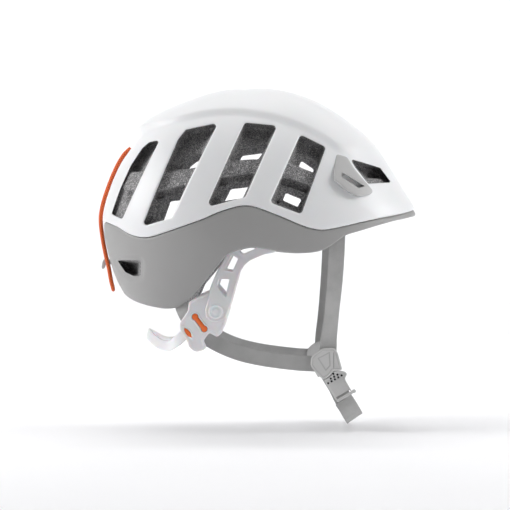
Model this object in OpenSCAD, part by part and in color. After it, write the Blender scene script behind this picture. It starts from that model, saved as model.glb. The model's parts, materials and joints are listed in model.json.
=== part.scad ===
// Climbing helmet: two-part hard shell over a foam liner, hinged headband, webbing harness,
// headlamp clips and a rear elastic. Millimetres. +X is forward, +Y is the wearer's left, +Z is up.
// The origin is the centre of the head in the plane of the headband.

/* [Shell] */
// Wall of the upper shell
upper_wall = 1.6; // [1.2:0.1:2.4]
// Wall of the lower shell
lower_wall = 1.4; // [1.2:0.1:2]
// How far the lower shell lies below the upper shell's surface
lower_step = 0.8; // [0.4:0.1:1]
// Width of the flange that the lower shell turns inwards along the rim
rim_flange = 5; // [4:0.5:6]
// Height of the raised crown panel
panel_height = 3; // [2:0.1:3.6]
// Extra height of the panel's tail at the rear
tail_height = 5.6; // [3:0.1:6]

/* [Foam liner] */
// Depth of the vent pockets below the shell's surface
pocket_depth = 15; // [12:0.5:16]
// Depth of the foam rib that crosses the vents
rib_depth = 6; // [4:0.5:8]

/* [Headband] */
// Distance from the middle plane to the inner face of an adjuster plate
plate_y = 70; // [69.8:0.1:70.2]
// Thickness of an adjuster plate
plate_t = 3.2; // [3:0.1:3.3]
// Thickness of a headband strut
strut_t = 2.4; // [2:0.1:2.5]
// Radius of the pin that the headband tilts on
pivot_r = 3; // [2.5:0.1:3.4]
// Height of the nape band
nape_w = 9; // [8:0.5:10]
// Thickness of the nape band
nape_t = 2.2; // [2:0.1:2.3]

/* [Harness] */
// Width of the side straps
strap_w = 15; // [13:0.5:15.5]
// Width of the chin strap
chin_w = 17; // [15:0.5:18]
// Thickness of the webbing
strap_t = 1.5; // [1.2:0.1:1.6]

/* [Rear elastic] */
// Diameter of the elastic
elastic_d = 3.3; // [2.8:0.1:3.4]
// Distance of each strand from the middle plane
elastic_y = 3.6; // [3.4:0.1:4]

/* [Hidden] */
$fn = 32;
white = [0.93, 0.93, 0.94];
grey = [0.62, 0.63, 0.64];
foam = [0.25, 0.25, 0.26];
web = [0.55, 0.56, 0.57];
frost = [0.86, 0.87, 0.88];
orange = [0.85, 0.33, 0.14];
steel = [0.7, 0.7, 0.72];
gap = 0.3;
columns = 48;
crown_rings = 13;
// Half of the gap between the two shells, and the lift of the liner above the rim, in degrees
joint_lift = 0.15;
liner_lift = 1;

// Outer surface: distance from the origin against elevation, in the middle plane ahead of and
// behind the origin, and across the ears
front_curve = [[-30, 140], [-15, 152], [0, 157], [7, 155], [15, 147.5], [30, 140], [45, 133],
    [60, 130], [75, 127.5], [90, 125]];
rear_curve = [[-45, 118], [-30, 124], [-20, 125.5], [-10, 126.5], [0, 128.5], [15, 128],
    [30, 127], [45, 126], [60, 124.5], [75, 124], [90, 125]];
side_curve = [[-50, 92], [-30, 99], [-15, 102], [0, 103], [15, 104.5], [30, 108], [45, 113],
    [60, 118.5], [75, 123], [90, 125]];
// Head cavity, in the same form
front_in = [[-50, 96], [0, 97], [30, 99], [60, 102], [90, 104]];
rear_in = [[-45, 97], [-30, 101], [0, 103], [60, 103.5], [90, 104]];
side_in = [[-50, 76], [-30, 78], [-15, 79], [0, 79], [15, 80], [30, 83.5], [45, 89], [60, 95.5],
    [75, 101.5], [90, 104]];
// Elevation against angle from the front: rim, joint of the two shells, rim of the cavity
rim_edge = [[0, 4.8], [12, 4.2], [21, 3.4], [30, 1.8], [40, -1], [46, -3.2], [53, -8.8], [60, -11],
    [70, -11.2], [80, -10], [87, -9.2], [95, -11.4], [100, -14.3], [108, -22.8], [116, -30],
    [125, -36], [134, -39.6], [142, -39], [150, -36.2], [160, -32.6], [170, -29.4], [180, -27.5]];
joint_edge = [[0, 7.2], [11.5, 6.2], [30, 4], [40, 2.3], [50, 0.1], [55, -0.6], [60, 0.2],
    [64, 1.6], [72, 5.2], [80, 8.6], [86, 10.6], [91, 11], [96, 9.9], [102, 7.9], [111, 3.9],
    [120, 0.7], [129, -2.2], [135, -3.6], [140, -3.5], [145, -2.3], [153, 0.8], [165, 2.8],
    [180, 3.4]];
cavity_edge = [[0, 6], [30, 3], [45, -3], [60, -13], [75, -13.5], [90, -12], [100, -17],
    [110, -28], [120, -38], [130, -44], [140, -44], [155, -40], [180, -32]];
// Raised panel: elevation of its edge against angle, and the width of its slope in degrees
panel_edge = [[0, 22], [21, 24], [32, 26], [38, 29.2], [42, 32.4], [45, 36.4], [52, 43], [62, 49.4],
    [74, 54.2], [90, 57.4], [106, 56.7], [121, 53.8], [134, 49.9], [147, 46.2], [160, 43.8],
    [170, 42.4], [180, 41.5]];
panel_slope = [[0, 16], [21, 14], [34, 7], [42, 4], [62, 3.4], [146, 3.4], [170, 2.5], [180, 2]];

// Side vents as X and Z of the corner posts, followed by the radius of the posts
vents = [
    [[[-115.5, 14.6], [-108.4, 11.3], [-78, 76], [-83.6, 75], [-89, 70.4], [-98.4, 56], [-107.6, 36]], 2],
    [[[-84.6, 5.8], [-64.8, 11.3], [-27.4, 89.4], [-50, 84.8], [-56, 77]], 2.5],
    [[[-27.6, 22.6], [-1.4, 29.6], [24.2, 87.6], [2, 89.8]], 3],
    [[[26, 24], [47.2, 16.2], [67.2, 69.8], [50.2, 78.2]], 3]];
brow_vent = [[[95, 59.4], [98, 54], [108.6, 40.8], [127.6, 42.6], [119.2, 53.4]], 1.2];
nape_corners = [[-113.4, -28.9], [-111.5, -28.4], [-93, -28.4], [-92.4, -29.2], [-93.2, -40.6],
    [-94, -41.3], [-99, -41.3], [-106.8, -38]];
// Openings from the vent pockets into the head cavity
windows = [
    [[-77.5, 7], [-60, 9], [-52, 29.5], [-70, 27]],
    [[-55.5, 53], [-41.5, 53], [-37.5, 64.5], [-44.5, 65], [-51, 60]],
    [[-21, 24], [-2, 27], [4.6, 41], [-13.4, 38.8]],
    [[-7.5, 58], [11, 60.5], [19, 72.6], [-2.6, 70]],
    [[34, 25], [46.5, 19.6], [52.5, 29.6], [38.6, 35.2]],
    [[47, 52], [59.5, 46.8], [64, 57.4], [53, 65]]];
window_r = 1;
// How far the foam's pockets stand back from the edges of the vents
foam_margin = 0.4;
// Foam rib through the vents: X, bottom and top
rib = [[-125, 40, 52], [-110, 36.6, 51.6], [-98, 32.8, 51], [-77, 32.3, 50.4], [-51, 37.4, 52],
    [-20, 43.8, 57.5], [9, 47.3, 60.5], [33, 44.2, 59], [56, 36.8, 50.5], [70, 31, 45]];
lamp_outline = [[79, 66.7, 0.4], [90, 63.5, 1.2], [94.4, 54.5, 3], [102, 44.5, 5], [111, 34.5, 6],
    [112.2, 32, 6], [108.6, 29.4, 6], [98.3, 27.5, 6], [89.4, 31.8, 6], [78.2, 40.6, 4.6],
    [77, 44, 4]];

function smooth(t) = let (u = min(max(t, 0), 1)) u * u * (3 - 2 * u);
function slope_at(k, i) =
    let (a = max(i - 1, 0), b = min(i + 1, len(k) - 1))
    (k[b][1] - k[a][1]) / (k[b][0] - k[a][0]);
function span_of(k, t, i = 0) = i >= len(k) - 2 || t < k[i + 1][0] ? i : span_of(k, t, i + 1);
// Smooth curve through knots of [position, value], held level past both ends
function curve(k, t) =
    let (i = span_of(k, t), h = k[i + 1][0] - k[i][0], s = min(max((t - k[i][0]) / h, 0), 1))
    (2 * s ^ 3 - 3 * s ^ 2 + 1) * k[i][1] + (s ^ 3 - 2 * s ^ 2 + s) * h * slope_at(k, i)
    + (3 * s ^ 2 - 2 * s ^ 3) * k[i + 1][1] + (s ^ 3 - s ^ 2) * h * slope_at(k, i + 1);
// Angle from the front, the same on both sides
function turn(th) = th > 180 ? 360 - th : th;
function direction(th, e) = [cos(e) * cos(th), cos(e) * sin(th), sin(e)];
function egg(front, rear, side, th, e) =
    let (along = cos(th) >= 0 ? curve(front, e) : curve(rear, e), n = 2 + 0.3 * cos(e))
    ((abs(cos(th)) / along) ^ n + (abs(sin(th)) / curve(side, e)) ^ n) ^ (-1 / n);
function panel_rise(th, e) =
    let (
        edge = curve(panel_edge, turn(th)),
        tail = smooth(turn(th) / 40 - 3.5) * smooth((70 - e) / 28) * tail_height)
    (panel_height + tail) * smooth((e - edge) / curve(panel_slope, turn(th)));
// Outer surface, with the raised panel or, for the foam below it, without
function skin(th, e, panel = 1) =
    egg(front_curve, rear_curve, side_curve, th, e) + panel * panel_rise(th, e);
function cavity(th, e) = egg(front_in, rear_in, side_in, th, e);
function column(i) = i * 360 / columns;
function edge_at(k, i) = curve(k, turn(column(i)));
// Half-width of the outer surface at a place seen from the side, by halving the interval
function half_width(x, z, low = 0, high = 125, steps = 14) =
    let (y = (low + high) / 2, r = norm([x, y, z]))
    steps == 0 ? y
    : r < egg(front_curve, rear_curve, side_curve, atan2(y, x), asin(z / r))
        ? half_width(x, z, y, high, steps - 1)
        : half_width(x, z, low, y, steps - 1);

// Rings of a dome from near the crown down to an edge, at a depth below a surface
function outer_rings(depth, edge, lift, panel) = [for (j = [1 : crown_rings]) [for (i = [0 : columns - 1])
    let (e = 90 - (90 - edge_at(edge, i) - lift) * j / crown_rings)
    (skin(column(i), e, panel) - depth) * direction(column(i), e)]];
function cavity_rings(step) = [for (j = [1 : step]) [for (i = [0 : columns - 1])
    let (e = 90 - (90 - edge_at(cavity_edge, i)) * j / step)
    cavity(column(i), e) * direction(column(i), e)]];
function reversed(list) = [for (i = [len(list) - 1 : -1 : 0]) list[i]];
function crown_point(depth, panel) = [0, 0, skin(0, 90, panel) - depth];
// One ring at a lift above an edge
function edge_ring(depth, edge, lift) = [for (i = [0 : columns - 1])
    let (e = edge_at(edge, i) + lift) (skin(column(i), e) - depth) * direction(column(i), e)];

// Smooth route through points, each with a direction for the width
function blend_points(a, b, c, d, s) =
    0.5 * ((2 * b) + (c - a) * s + (2 * a - 5 * b + 4 * c - d) * s ^ 2
    + (3 * b - a - 3 * c + d) * s ^ 3);
function fine(p, parts) = [for (i = [0 : len(p) - 2]) for (k = [0 : parts - 1])
    blend_points(p[max(i - 1, 0)], p[i], p[i + 1], p[min(i + 2, len(p) - 1)], k / parts),
    p[len(p) - 1]];
function unit(v) = v / norm(v);
function along(p, i) = unit(p[min(i + 1, len(p) - 1)] - p[max(i - 1, 0)]);
// Width direction made square to the run of the route
function square_to(w, t) = unit(w - (w * t) * t);
function both_sides(p) = concat(p, [for (i = [len(p) - 2 : -1 : 0]) [p[i][0], -p[i][1], p[i][2]]]);

// Closed solid through rings of equal length. With loop it is a torus, otherwise the two end
// points close it.
module ring_solid(rings, ends = []) {
    n = len(rings[0]);
    count = len(rings);
    loop = len(ends) == 0;
    last = loop ? count - 1 : count - 2;
    points = concat([for (r = rings) each r], ends);
    sides = [for (j = [0 : last]) for (i = [0 : n - 1])
        let (a = j * n + i, b = j * n + (i + 1) % n, k = (j + 1) % count * n)
        each [[a, b, k + (i + 1) % n], [a, k + (i + 1) % n, k + i]]];
    caps = loop ? [] : [for (i = [0 : n - 1])
        each [[count * n, (i + 1) % n, i],
            [count * n + 1, (count - 1) * n + i, (count - 1) * n + (i + 1) % n]]];
    polyhedron(points, concat(sides, caps));
}
// Webbing or a moulded band along a route
module ribbon(route, widths, w, t, parts = 3) {
    p = fine(route, parts);
    v = fine(widths, parts);
    n = len(p);
    points = [for (i = [0 : n - 1])
        let (a = along(p, i), b = square_to(v[i], a) * w / 2, c = unit(cross(a, b)) * t / 2)
        each [p[i] - b - c, p[i] + b - c, p[i] + b + c, p[i] - b + c]];
    sides = [for (i = [0 : n - 2]) for (k = [0 : 3])
        let (a = 4 * i + k, b = 4 * i + (k + 1) % 4)
        each [[a, a + 4, b + 4], [a, b + 4, b]]];
    polyhedron(points, concat(sides,
        [[0, 1, 2], [0, 2, 3], [4 * n - 4, 4 * n - 2, 4 * n - 3], [4 * n - 4, 4 * n - 1, 4 * n - 2]]));
}
// Round cord along a route
module cord(route, d, parts, sides = 8) {
    p = fine(route, parts);
    n = len(p);
    points = [for (i = [0 : n - 1])
        let (a = along(p, i), b = square_to([1, 0, 0.31], a), c = cross(a, b))
        each [for (k = [0 : sides - 1]) let (u = k * 360 / sides) p[i] + d / 2 * (cos(u) * b + sin(u) * c)]];
    walls = [for (i = [0 : n - 2]) for (k = [0 : sides - 1])
        let (a = sides * i + k, b = sides * i + (k + 1) % sides)
        each [[a, a + sides, b + sides], [a, b + sides, b]]];
    polyhedron(points, concat(walls, [[for (k = [0 : sides - 1]) k],
        [for (k = [sides - 1 : -1 : 0]) sides * (n - 1) + k]]));
}
// Flat piece on the wearer's right, drawn in X and Z, its inner face at a distance from the middle
module slab(y, t) translate([0, -y, 0]) rotate([90, 0, 0]) linear_extrude(t) children();
// Round pin or hole along Y on the wearer's right
module peg(x, z, r, y, t) translate([x, -y, z]) rotate([90, 0, 0]) cylinder(h = t, r = r);
module on_left() mirror([0, 1, 0]) children();
// Cutter for one opening on one side, with round corners
module vent_cutter(posts, r, side, near = 20, far = 150)
    hull() for (p = posts) translate([p[0], side * near, p[1]]) rotate([-90 * side, 0, 0])
        cylinder(h = far - near, r = r, $fn = 12);

// The same outline, drawn in X and Z, cut on both sides between two distances from the middle
module side_cut(near, far) for (side = [-1, 1]) translate([0, side * (near + far) / 2, 0])
    rotate([90, 0, 0]) linear_extrude(far - near, center = true) children();

// ---- shells and liner ----
module vent_cutters(list) for (side = [-1, 1]) for (v = list) vent_cutter(v[0], v[1], side);

module shell_upper() color(white) difference() {
    ring_solid(concat(outer_rings(0, joint_edge, joint_lift, 1),
        reversed(outer_rings(upper_wall, joint_edge, joint_lift, 1))),
        [crown_point(0, 1), crown_point(upper_wall, 1)]);
    vent_cutters(concat(vents, [brow_vent]));
    cord_hole();
}
// Hole at the top of the rear where the elastic enters
module cord_hole() translate([-101, 0, 72]) rotate([0, -50, 0])
    cube([9, 2 * elastic_y + elastic_d + 1.2, elastic_d + 1.4], center = true);

module shell_lower() color(grey) difference() {
    lower_rings = 5;
    flange_lift = 0.7;
    strap_slot = [7.2, 19, 13];
    strap_slot_place = [79.6, 0, -64.5];
    strap_slot_turn = 136;
    depth_in = lower_step + lower_wall;
    skin_ring = function(depth, share, up) [for (i = [0 : columns - 1])
        let (
            low = edge_at(rim_edge, i) + up,
            high = edge_at(joint_edge, i) - joint_lift,
            e = high + (low - high) * share,
            th = column(i))
        (skin(th, e) - depth) * direction(th, e)];
    ring_solid(concat(
        [for (j = [0 : lower_rings]) skin_ring(lower_step, j / lower_rings, 0)],
        [edge_ring(rim_flange, rim_edge, 0), edge_ring(rim_flange, rim_edge, flange_lift)],
        [for (j = [lower_rings : -1 : 0]) skin_ring(depth_in, j / lower_rings, flange_lift)]));
    side_cut(20, 120) polygon(nape_corners);
    // Slots in the flange that the rear straps come through
    for (side = [-1, 1]) rotate([0, 0, side * strap_slot_turn]) translate(strap_slot_place)
        cube(strap_slot, center = true);
}

module liner_body() {
    inner = cavity_rings(crown_rings - 2);
    under = upper_wall + lower_step + gap;
    strap_gap = 3;
    ring_solid(concat(outer_rings(under, rim_edge, liner_lift, 0),
        [edge_ring(rim_flange + strap_gap, rim_edge, liner_lift)], reversed(inner)),
        [crown_point(under, 0), [0, 0, cavity(0, 90)]]);
}
// Dome that stops the vent pockets at a depth below the shell
module pocket_floor(depth) {
    deep = depth + 30;
    ring_solid(concat(outer_rings(depth, rim_edge, liner_lift, 0),
        [edge_ring(deep, rim_edge, liner_lift)], reversed(outer_rings(deep, rim_edge, liner_lift, 0))),
        [crown_point(depth, 0), crown_point(deep, 0)]);
}

module rib_band() side_cut(5, 115)
    polygon(concat([for (r = rib) [r[0], r[1]]], reversed([for (r = rib) [r[0], r[2]]])));

module foam_liner() color(foam) difference() {
    liner_body();
    difference() {
        vent_cutters([for (v = concat(vents, [brow_vent, [nape_corners, 0.1]])) [v[0], v[1] + foam_margin]]);
        pocket_floor(pocket_depth);
        intersection() {
            rib_band();
            pocket_floor(rib_depth);
        }
    }
    for (side = [-1, 1]) for (w = windows) vent_cutter(w, window_r, side);
    // Seats of the strap anchors, the rear ones open below for the strap
    for (side = [-1, 1]) {
        translate([front_anchor[0], side * front_anchor[1], front_anchor[2]])
            cube(anchor_size + [1, 1, 0.6], center = true);
        translate([rear_anchor[0], side * rear_anchor[1], rear_anchor[2] - 6])
            rotate([0, 0, side * anchor_turn]) cube(anchor_size + [4, 2.4, 14], center = true);
    }
    // Room for the headband's arms over their tilt
    side_cut(strut_y - 0.8, strut_y + strut_t + 0.8)
        polygon([[-44, -64], [8, -64], [34, -26], [34, -5], [22, -6.6], [-19, -6.6], [-38, -38]]);
}

// ---- headlamp clips and rear elastic ----
module lamp_clip() color(grey) difference() {
    feet = [for (p = lamp_outline) [p[0], -half_width(p[0], p[1]), p[1]]];
    n = len(feet);
    out = [for (p = feet) unit([p[0] * 0.55, p[1] * 1.25, p[2] * 0.5])];
    points = concat([for (i = [0 : n - 1]) feet[i] - out[i]],
        [for (i = [0 : n - 1]) feet[i] + out[i] * lamp_outline[i][2]]);
    sides = [for (i = [0 : n - 1]) let (k = (i + 1) % n) each [[i, n + k, k], [i, n + i, n + k]]];
    polyhedron(points, concat(sides,
        [for (i = [1 : n - 2]) [0, i, i + 1]], [for (i = [1 : n - 2]) [n, n + i + 1, n + i]]));
    translate([96.5, -78, 39.2]) rotate([0, 31, 0]) rotate([0, 0, -42]) cube([15, 30, 3.4], center = true);
}
module lamp_clip_right() lamp_clip();
module lamp_clip_left() on_left() lamp_clip();

// Elastic route in the middle plane, as X and Z, from the shell down
elastic_route = [[-103.8, 74.4], [-110.4, 68], [-117.8, 55], [-125.3, 36.4],
    [-129.9, 20.7], [-131.3, 8.6], [-129.6, -7.3], [-127.6, -18.2], [-126, -25.5],
    [-124, -34], [-121.8, -46.2]];
loop_end = [-119.9, -54.4];
module rear_elastic() color(orange) {
    strand = [for (p = elastic_route) [p[0], -elastic_y, p[1]]];
    turn_points = [[loop_end[0] - 0.7, -elastic_y * 0.8, loop_end[1] + 3.5],
        [loop_end[0], 0, loop_end[1]]];
    cord(both_sides(concat(strand, turn_points)), elastic_d, 2);
}
module rear_hook() color(grey) {
    slab_centred(2.6) polygon([[-121.5, -27], [-127.8, -25.6], [-129.6, -28.5], [-130.6, -34.5],
        [-129.2, -36], [-127.6, -34.5], [-126.6, -31], [-120.6, -31.5]]);
}
module slab_centred(t) rotate([90, 0, 0]) linear_extrude(t, center = true) children();

// ---- pads ----
// Distance of the pads from the cavity
pad_gap = 0.9;
// Pad against the head cavity between two angles and two elevations
module cavity_pad(th_a, th_b, e_a, e_b, depth, nt = 10, ne = 4) color(foam) {
    at = function(i, j, d) let (
        th = th_a + (th_b - th_a) * i / nt,
        e = e_a + (e_b - e_a) * j / ne)
        (cavity(th, e) - d) * direction(th, e);
    n = (nt + 1) * (ne + 1);
    id = function(i, j, inner) (inner ? n : 0) + i * (ne + 1) + j;
    points = concat([for (i = [0 : nt]) for (j = [0 : ne]) at(i, j, pad_gap)],
        [for (i = [0 : nt]) for (j = [0 : ne]) at(i, j, depth)]);
    faces_out = [for (i = [0 : nt - 1]) for (j = [0 : ne - 1]) each [
        [id(i, j, false), id(i, j + 1, false), id(i + 1, j + 1, false)],
        [id(i, j, false), id(i + 1, j + 1, false), id(i + 1, j, false)],
        [id(i, j, true), id(i + 1, j + 1, true), id(i, j + 1, true)],
        [id(i, j, true), id(i + 1, j, true), id(i + 1, j + 1, true)]]];
    faces_th = [for (j = [0 : ne - 1]) each [
        [id(0, j, false), id(0, j + 1, true), id(0, j + 1, false)],
        [id(0, j, false), id(0, j, true), id(0, j + 1, true)],
        [id(nt, j, false), id(nt, j + 1, false), id(nt, j + 1, true)],
        [id(nt, j, false), id(nt, j + 1, true), id(nt, j, true)]]];
    faces_e = [for (i = [0 : nt - 1]) each [
        [id(i, 0, false), id(i + 1, 0, false), id(i + 1, 0, true)],
        [id(i, 0, false), id(i + 1, 0, true), id(i, 0, true)],
        [id(i, ne, false), id(i + 1, ne, true), id(i + 1, ne, false)],
        [id(i, ne, false), id(i, ne, true), id(i + 1, ne, true)]]];
    polyhedron(points, concat(faces_out, faces_th, faces_e));
}
module forehead_pad() cavity_pad(-48, 48, 9, 24, 6);
module crown_pad_front() cavity_pad(-24, 24, 48, 68, 6, 6);
module crown_pad_rear() cavity_pad(150, 210, 42, 62, 6, 6);

// ---- headband ----
pivot = [24, -14];
pivot_head = 2.2;
boss = [-25, -72];
rivet_r = 2;
strut_y = plate_y + plate_t + 0.2;
module headband_pivot() color(steel) {
    peg(pivot[0], pivot[1], pivot_r, strut_y - 1, 12);
    peg(pivot[0], pivot[1], pivot_r + 2.4, strut_y - pivot_head, pivot_head - gap);
}
module headband_pivot_right() headband_pivot();
module headband_pivot_left() on_left() headband_pivot();

module headband_strut() color(frost) difference() {
    slab(strut_y, strut_t) polygon([[30, -9], [31, -17], [26, -20.5], [17, -22.3], [9.3, -25.6],
        [4.3, -28], [-0.7, -32.3], [-4.1, -38], [-6.2, -45.6], [-9, -55], [-12.5, -68], [-16.5, -77],
        [-20, -80.4], [-25, -81.4], [-30, -80.4], [-33.6, -76.6], [-34.2, -70.5], [-32, -62],
        [-30.8, -54], [-29.2, -49], [-24, -37], [-19, -28], [-14, -19], [-14, -10], [-4, -10],
        [-4.5, -19.3], [-1, -21.8], [4.5, -19.3], [9, -17.5], [17, -10]]);
    slab(strut_y - 1, strut_t + 2) {
        polygon([[-10.7, -23.5], [-6.2, -26], [-10.7, -36], [-16.6, -35.2]]);
        polygon([[-21.8, -44.3], [-13.9, -44.3], [-16.7, -58.2], [-23.4, -50.4]]);
    }
    peg(pivot[0], pivot[1], pivot_r + 0.05, strut_y - 1, strut_t + 2);
    peg(boss[0], boss[1], rivet_r + 0.1, strut_y - 1, strut_t + 2);
}
module headband_strut_right() headband_strut();
module headband_strut_left() on_left() headband_strut();

module strut_rivet() color(frost) {
    peg(boss[0], boss[1], rivet_r, plate_y - 1, plate_t + strut_t + 2);
    peg(boss[0], boss[1], 3.6, plate_y - 1.1, 1);
    peg(boss[0], boss[1], 6.6, strut_y + strut_t + 0.1, 1.1);
}
module strut_rivet_right() strut_rivet();
module strut_rivet_left() on_left() strut_rivet();

bar_a = [-43.2, -76.7];
bar_b = [-35.2, -87.2];
bar_end_r = 2.7;
bar_w = 3.8;
leaf_mid = [-49.4, -90.8];
leaf_r = 9;
leaf_side = 7.2;
// Dog-bone and leaf shapes of the lock button, seen from the side
module button_outline(grow) {
    run = bar_b - bar_a;
    for (p = [bar_a, bar_b]) translate(p) circle(bar_end_r + grow);
    translate((bar_a + bar_b) / 2) rotate(atan2(run[1], run[0]))
        square([norm(run), bar_w + 2 * grow], center = true);
    translate(leaf_mid) rotate(-53) intersection() {
        translate([0, leaf_side]) circle(leaf_r + grow);
        translate([0, -leaf_side]) circle(leaf_r + grow);
    }
}
module adjuster_plate() color(frost) difference() {
    slab(plate_y, plate_t) polygon([[-48.6, -63.8], [-43, -59.9], [-32.4, -55.1], [-24, -57], [-16, -62],
        [-13.4, -72], [-16.7, -82.2], [-19.5, -90.6], [-24, -94.5], [-30.7, -90.6], [-35.7, -97.3],
        [-32.9, -103.4], [-35.7, -105.7], [-41.3, -107.4], [-45.2, -106.2], [-48.6, -102.9],
        [-49.6, -99], [-56.6, -88], [-57, -82.4], [-49.4, -71.4]]);
    slab(plate_y - 1, plate_t + 2) button_outline(gap);
    peg(boss[0], boss[1], rivet_r + 0.1, plate_y - 1, plate_t + 2);
}
module adjuster_plate_right() adjuster_plate();
module adjuster_plate_left() on_left() adjuster_plate();

module lock_button() color(orange) slab(plate_y + 0.4, plate_t - 0.8) button_outline(0);
module lock_button_right() lock_button();
module lock_button_left() on_left() lock_button();

nape_route = [[-44, -67.9, -83.5], [-52, -67.9, -91.5], [-60, -64, -98.8], [-67, -52, -103.2],
    [-76, -35, -102], [-84, -17, -97], [-88, 0, -93.4]];
nape_up = [[-0.7, 0, 0.7], [-0.7, 0, 0.7], [-0.5, 0.2, 0.84], [0, 0.3, 1], [0.3, 0.3, 1],
    [0.3, 0.1, 1], [0.3, 0, 1]];
module nape_band() color(frost)
    ribbon(both_sides(nape_route), both_sides(nape_up), nape_w, nape_t, 3);

// ---- harness ----
anchor_size = [18, 7, 8];
front_anchor = [81, 70, 1];
rear_anchor = [-60, 58, -52];
anchor_turn = 43;
module strap_anchor(place, turned) color(grey) translate([place[0], -place[1], place[2]])
    rotate([0, 0, -turned]) cube(anchor_size, center = true);
module strap_anchor_front_right() strap_anchor(front_anchor, 0);
module strap_anchor_front_left() on_left() strap_anchor(front_anchor, 0);
module strap_anchor_rear_right() strap_anchor(rear_anchor, anchor_turn);
module strap_anchor_rear_left() on_left() strap_anchor(rear_anchor, anchor_turn);

// Routes of the straps on the wearer's right, from the anchor down, with the direction across
front_route = [[81, -70, -3.6], [80, -71.5, -22], [78.4, -72, -47], [75.8, -70, -75], [73.8, -68.2, -95],
    [73.2, -67.5, -103.6], [73.2, -67.5, -108]];
front_across = [[1, 0.1, 0], [1, 0.15, 0], [1, 0.3, 0], [1, 0.5, 0], [1, 0.3, 0], [1, 0.06, 0],
    [1, 0.05, 0]];
rear_route = [[-60, -58, -57.1], [-58, -57.4, -62], [-54.5, -60.4, -70], [-49.5, -65, -78],
    [-42, -65.2, -87.5], [-31, -65, -96.5], [-18, -65.6, -103.5], [-3.2, -66.6, -109],
    [13.5, -67.2, -112.8], [30, -67.5, -115.3], [48, -67.5, -117.3], [62, -67.5, -118]];
rear_across = [[0.73, -0.68, 0], [0.7, -0.68, 0.25], [0.76, -0.42, 0.5], [0.8, -0.05, 0.6],
    [0.74, 0, 0.67], [0.58, 0, 0.81], [0.44, 0, 0.9], [0.3, 0, 0.95], [0.2, 0, 1], [0.13, 0, 1],
    [0.08, 0, 1], [0.04, 0, 1]];
rear_narrower = 1.4;
module strap_front() color(web) ribbon(front_route, front_across, strap_w, strap_t, 3);
module strap_front_right() strap_front();
module strap_front_left() on_left() strap_front();
module strap_rear() color(web) ribbon(rear_route, rear_across, strap_w - rear_narrower, strap_t, 2);
module strap_rear_right() strap_rear();
module strap_rear_left() on_left() strap_rear();

divider_y = 66;
divider_t = 4;
// Strap divider: a plate with a pocket in its face and a sleeve for both straps behind it
module divider() color(web) difference() {
    slab(divider_y - 0.2, divider_t + 0.2) polygon([[68, -104], [78.5, -104], [81.5, -108],
        [84.5, -119], [86, -123.8], [77.5, -123.8], [74, -128.8], [68.5, -131.8], [62, -125.5],
        [57.5, -119.5], [58, -112.5], [61, -109]]);
    slab(divider_y + divider_t - 0.6, 2) polygon([[64, -113], [74.5, -107.5], [75, -119.5], [71, -124]]);
    slab(divider_y, 2.9) polygon([[60, -103], [82, -103], [81.4, -110], [62.5, -126.6], [56, -126],
        [56, -109]]);
}
module divider_right() divider();
module divider_left() on_left() divider();

module buckle_socket() color(web) difference() {
    peg(75, -116, 7, 62.3, 3.4);
    peg(75, -116, 4.1, 61.3, 2.8);
}
module socket_magnet() color(steel) peg(75, -116, 4, 62.4, 1.6);

// Tongue of the magnetic buckle: a grip plate with dimples and a tab that reaches behind the socket
module buckle_tongue() color(web) difference() {
    union() {
        slab(61.9, 3.8) polygon([[86.4, -124.4], [89.6, -125.6], [90, -128], [87.8, -131], [93.2, -140.6],
            [94.5, -143], [81.2, -151.4], [79.6, -149.6], [69.4, -132.4], [74.6, -129.4], [78, -124.4]]);
        slab(58.6, 3.3) polygon([[69, -110], [81, -110], [84, -125], [84, -132], [74, -136], [69, -128]]);
    }
    for (row = [0 : 2]) for (k = [0 : 4 - 2 * row])
        peg(85 - 3.65 * row - 2.95 * k, -128.3 + 0.7 * row - 1.72 * k, 0.7, 65.1, 1);
    translate([87, -64, -145.6]) rotate([0, -31, 0]) cube([13.4, 12, 3], center = true);
    peg(75, -116, 4.1, 60.3, 3);
}
module tongue_magnet() color(steel) peg(75, -116, 4, 60.4, 1.5);
module ladder_bar() color(web) translate([89, -66.9, -146]) rotate([0, -31, 0])
    cube([18.5, 2, 2.6], center = true);

chin_route = [[86.6, -63.6, -149.6], [91.4, -61, -157], [96, -50, -164.8], [98.2, -28, -168.6],
    [98.6, 0, -169.4]];
chin_across = [[0.82, 0.1, 0.57], [0.82, 0.1, 0.57], [0.82, 0, 0.57], [0.82, 0, 0.57], [0.82, 0, 0.57]];
module chin_strap() color(web) {
    route = concat(chin_route, [for (p = [chin_route[3], chin_route[2], chin_route[1]]) [p[0], -p[1], p[2]]],
        [[86.6, 62.8, -147], [82, 64, -139.5], [ring_pin[0] + 1, ring_pin[1], ring_pin[2] - 1.7]]);
    widths = concat(chin_across, [chin_across[3], chin_across[2], [0.82, -0.1, 0.57]],
        [[0.85, 0, 0.52], [0.87, 0, 0.5], [0.87, 0, 0.5]]);
    ribbon(route, widths, chin_w, strap_t, 3);
}
// Flat ring that joins the chin strap to the left divider and lets it swing
ring_pin = [77.5, 64.5, -131.7];
module strap_ring() color(grey) translate(ring_pin) rotate([0, 60, 0]) difference() {
    translate([-3.6, 0, 0]) cube([9.6, 2.2, 22], center = true);
    translate([-3.5, 0, 0]) cube([4.8, 4, 17.6], center = true);
}

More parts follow.
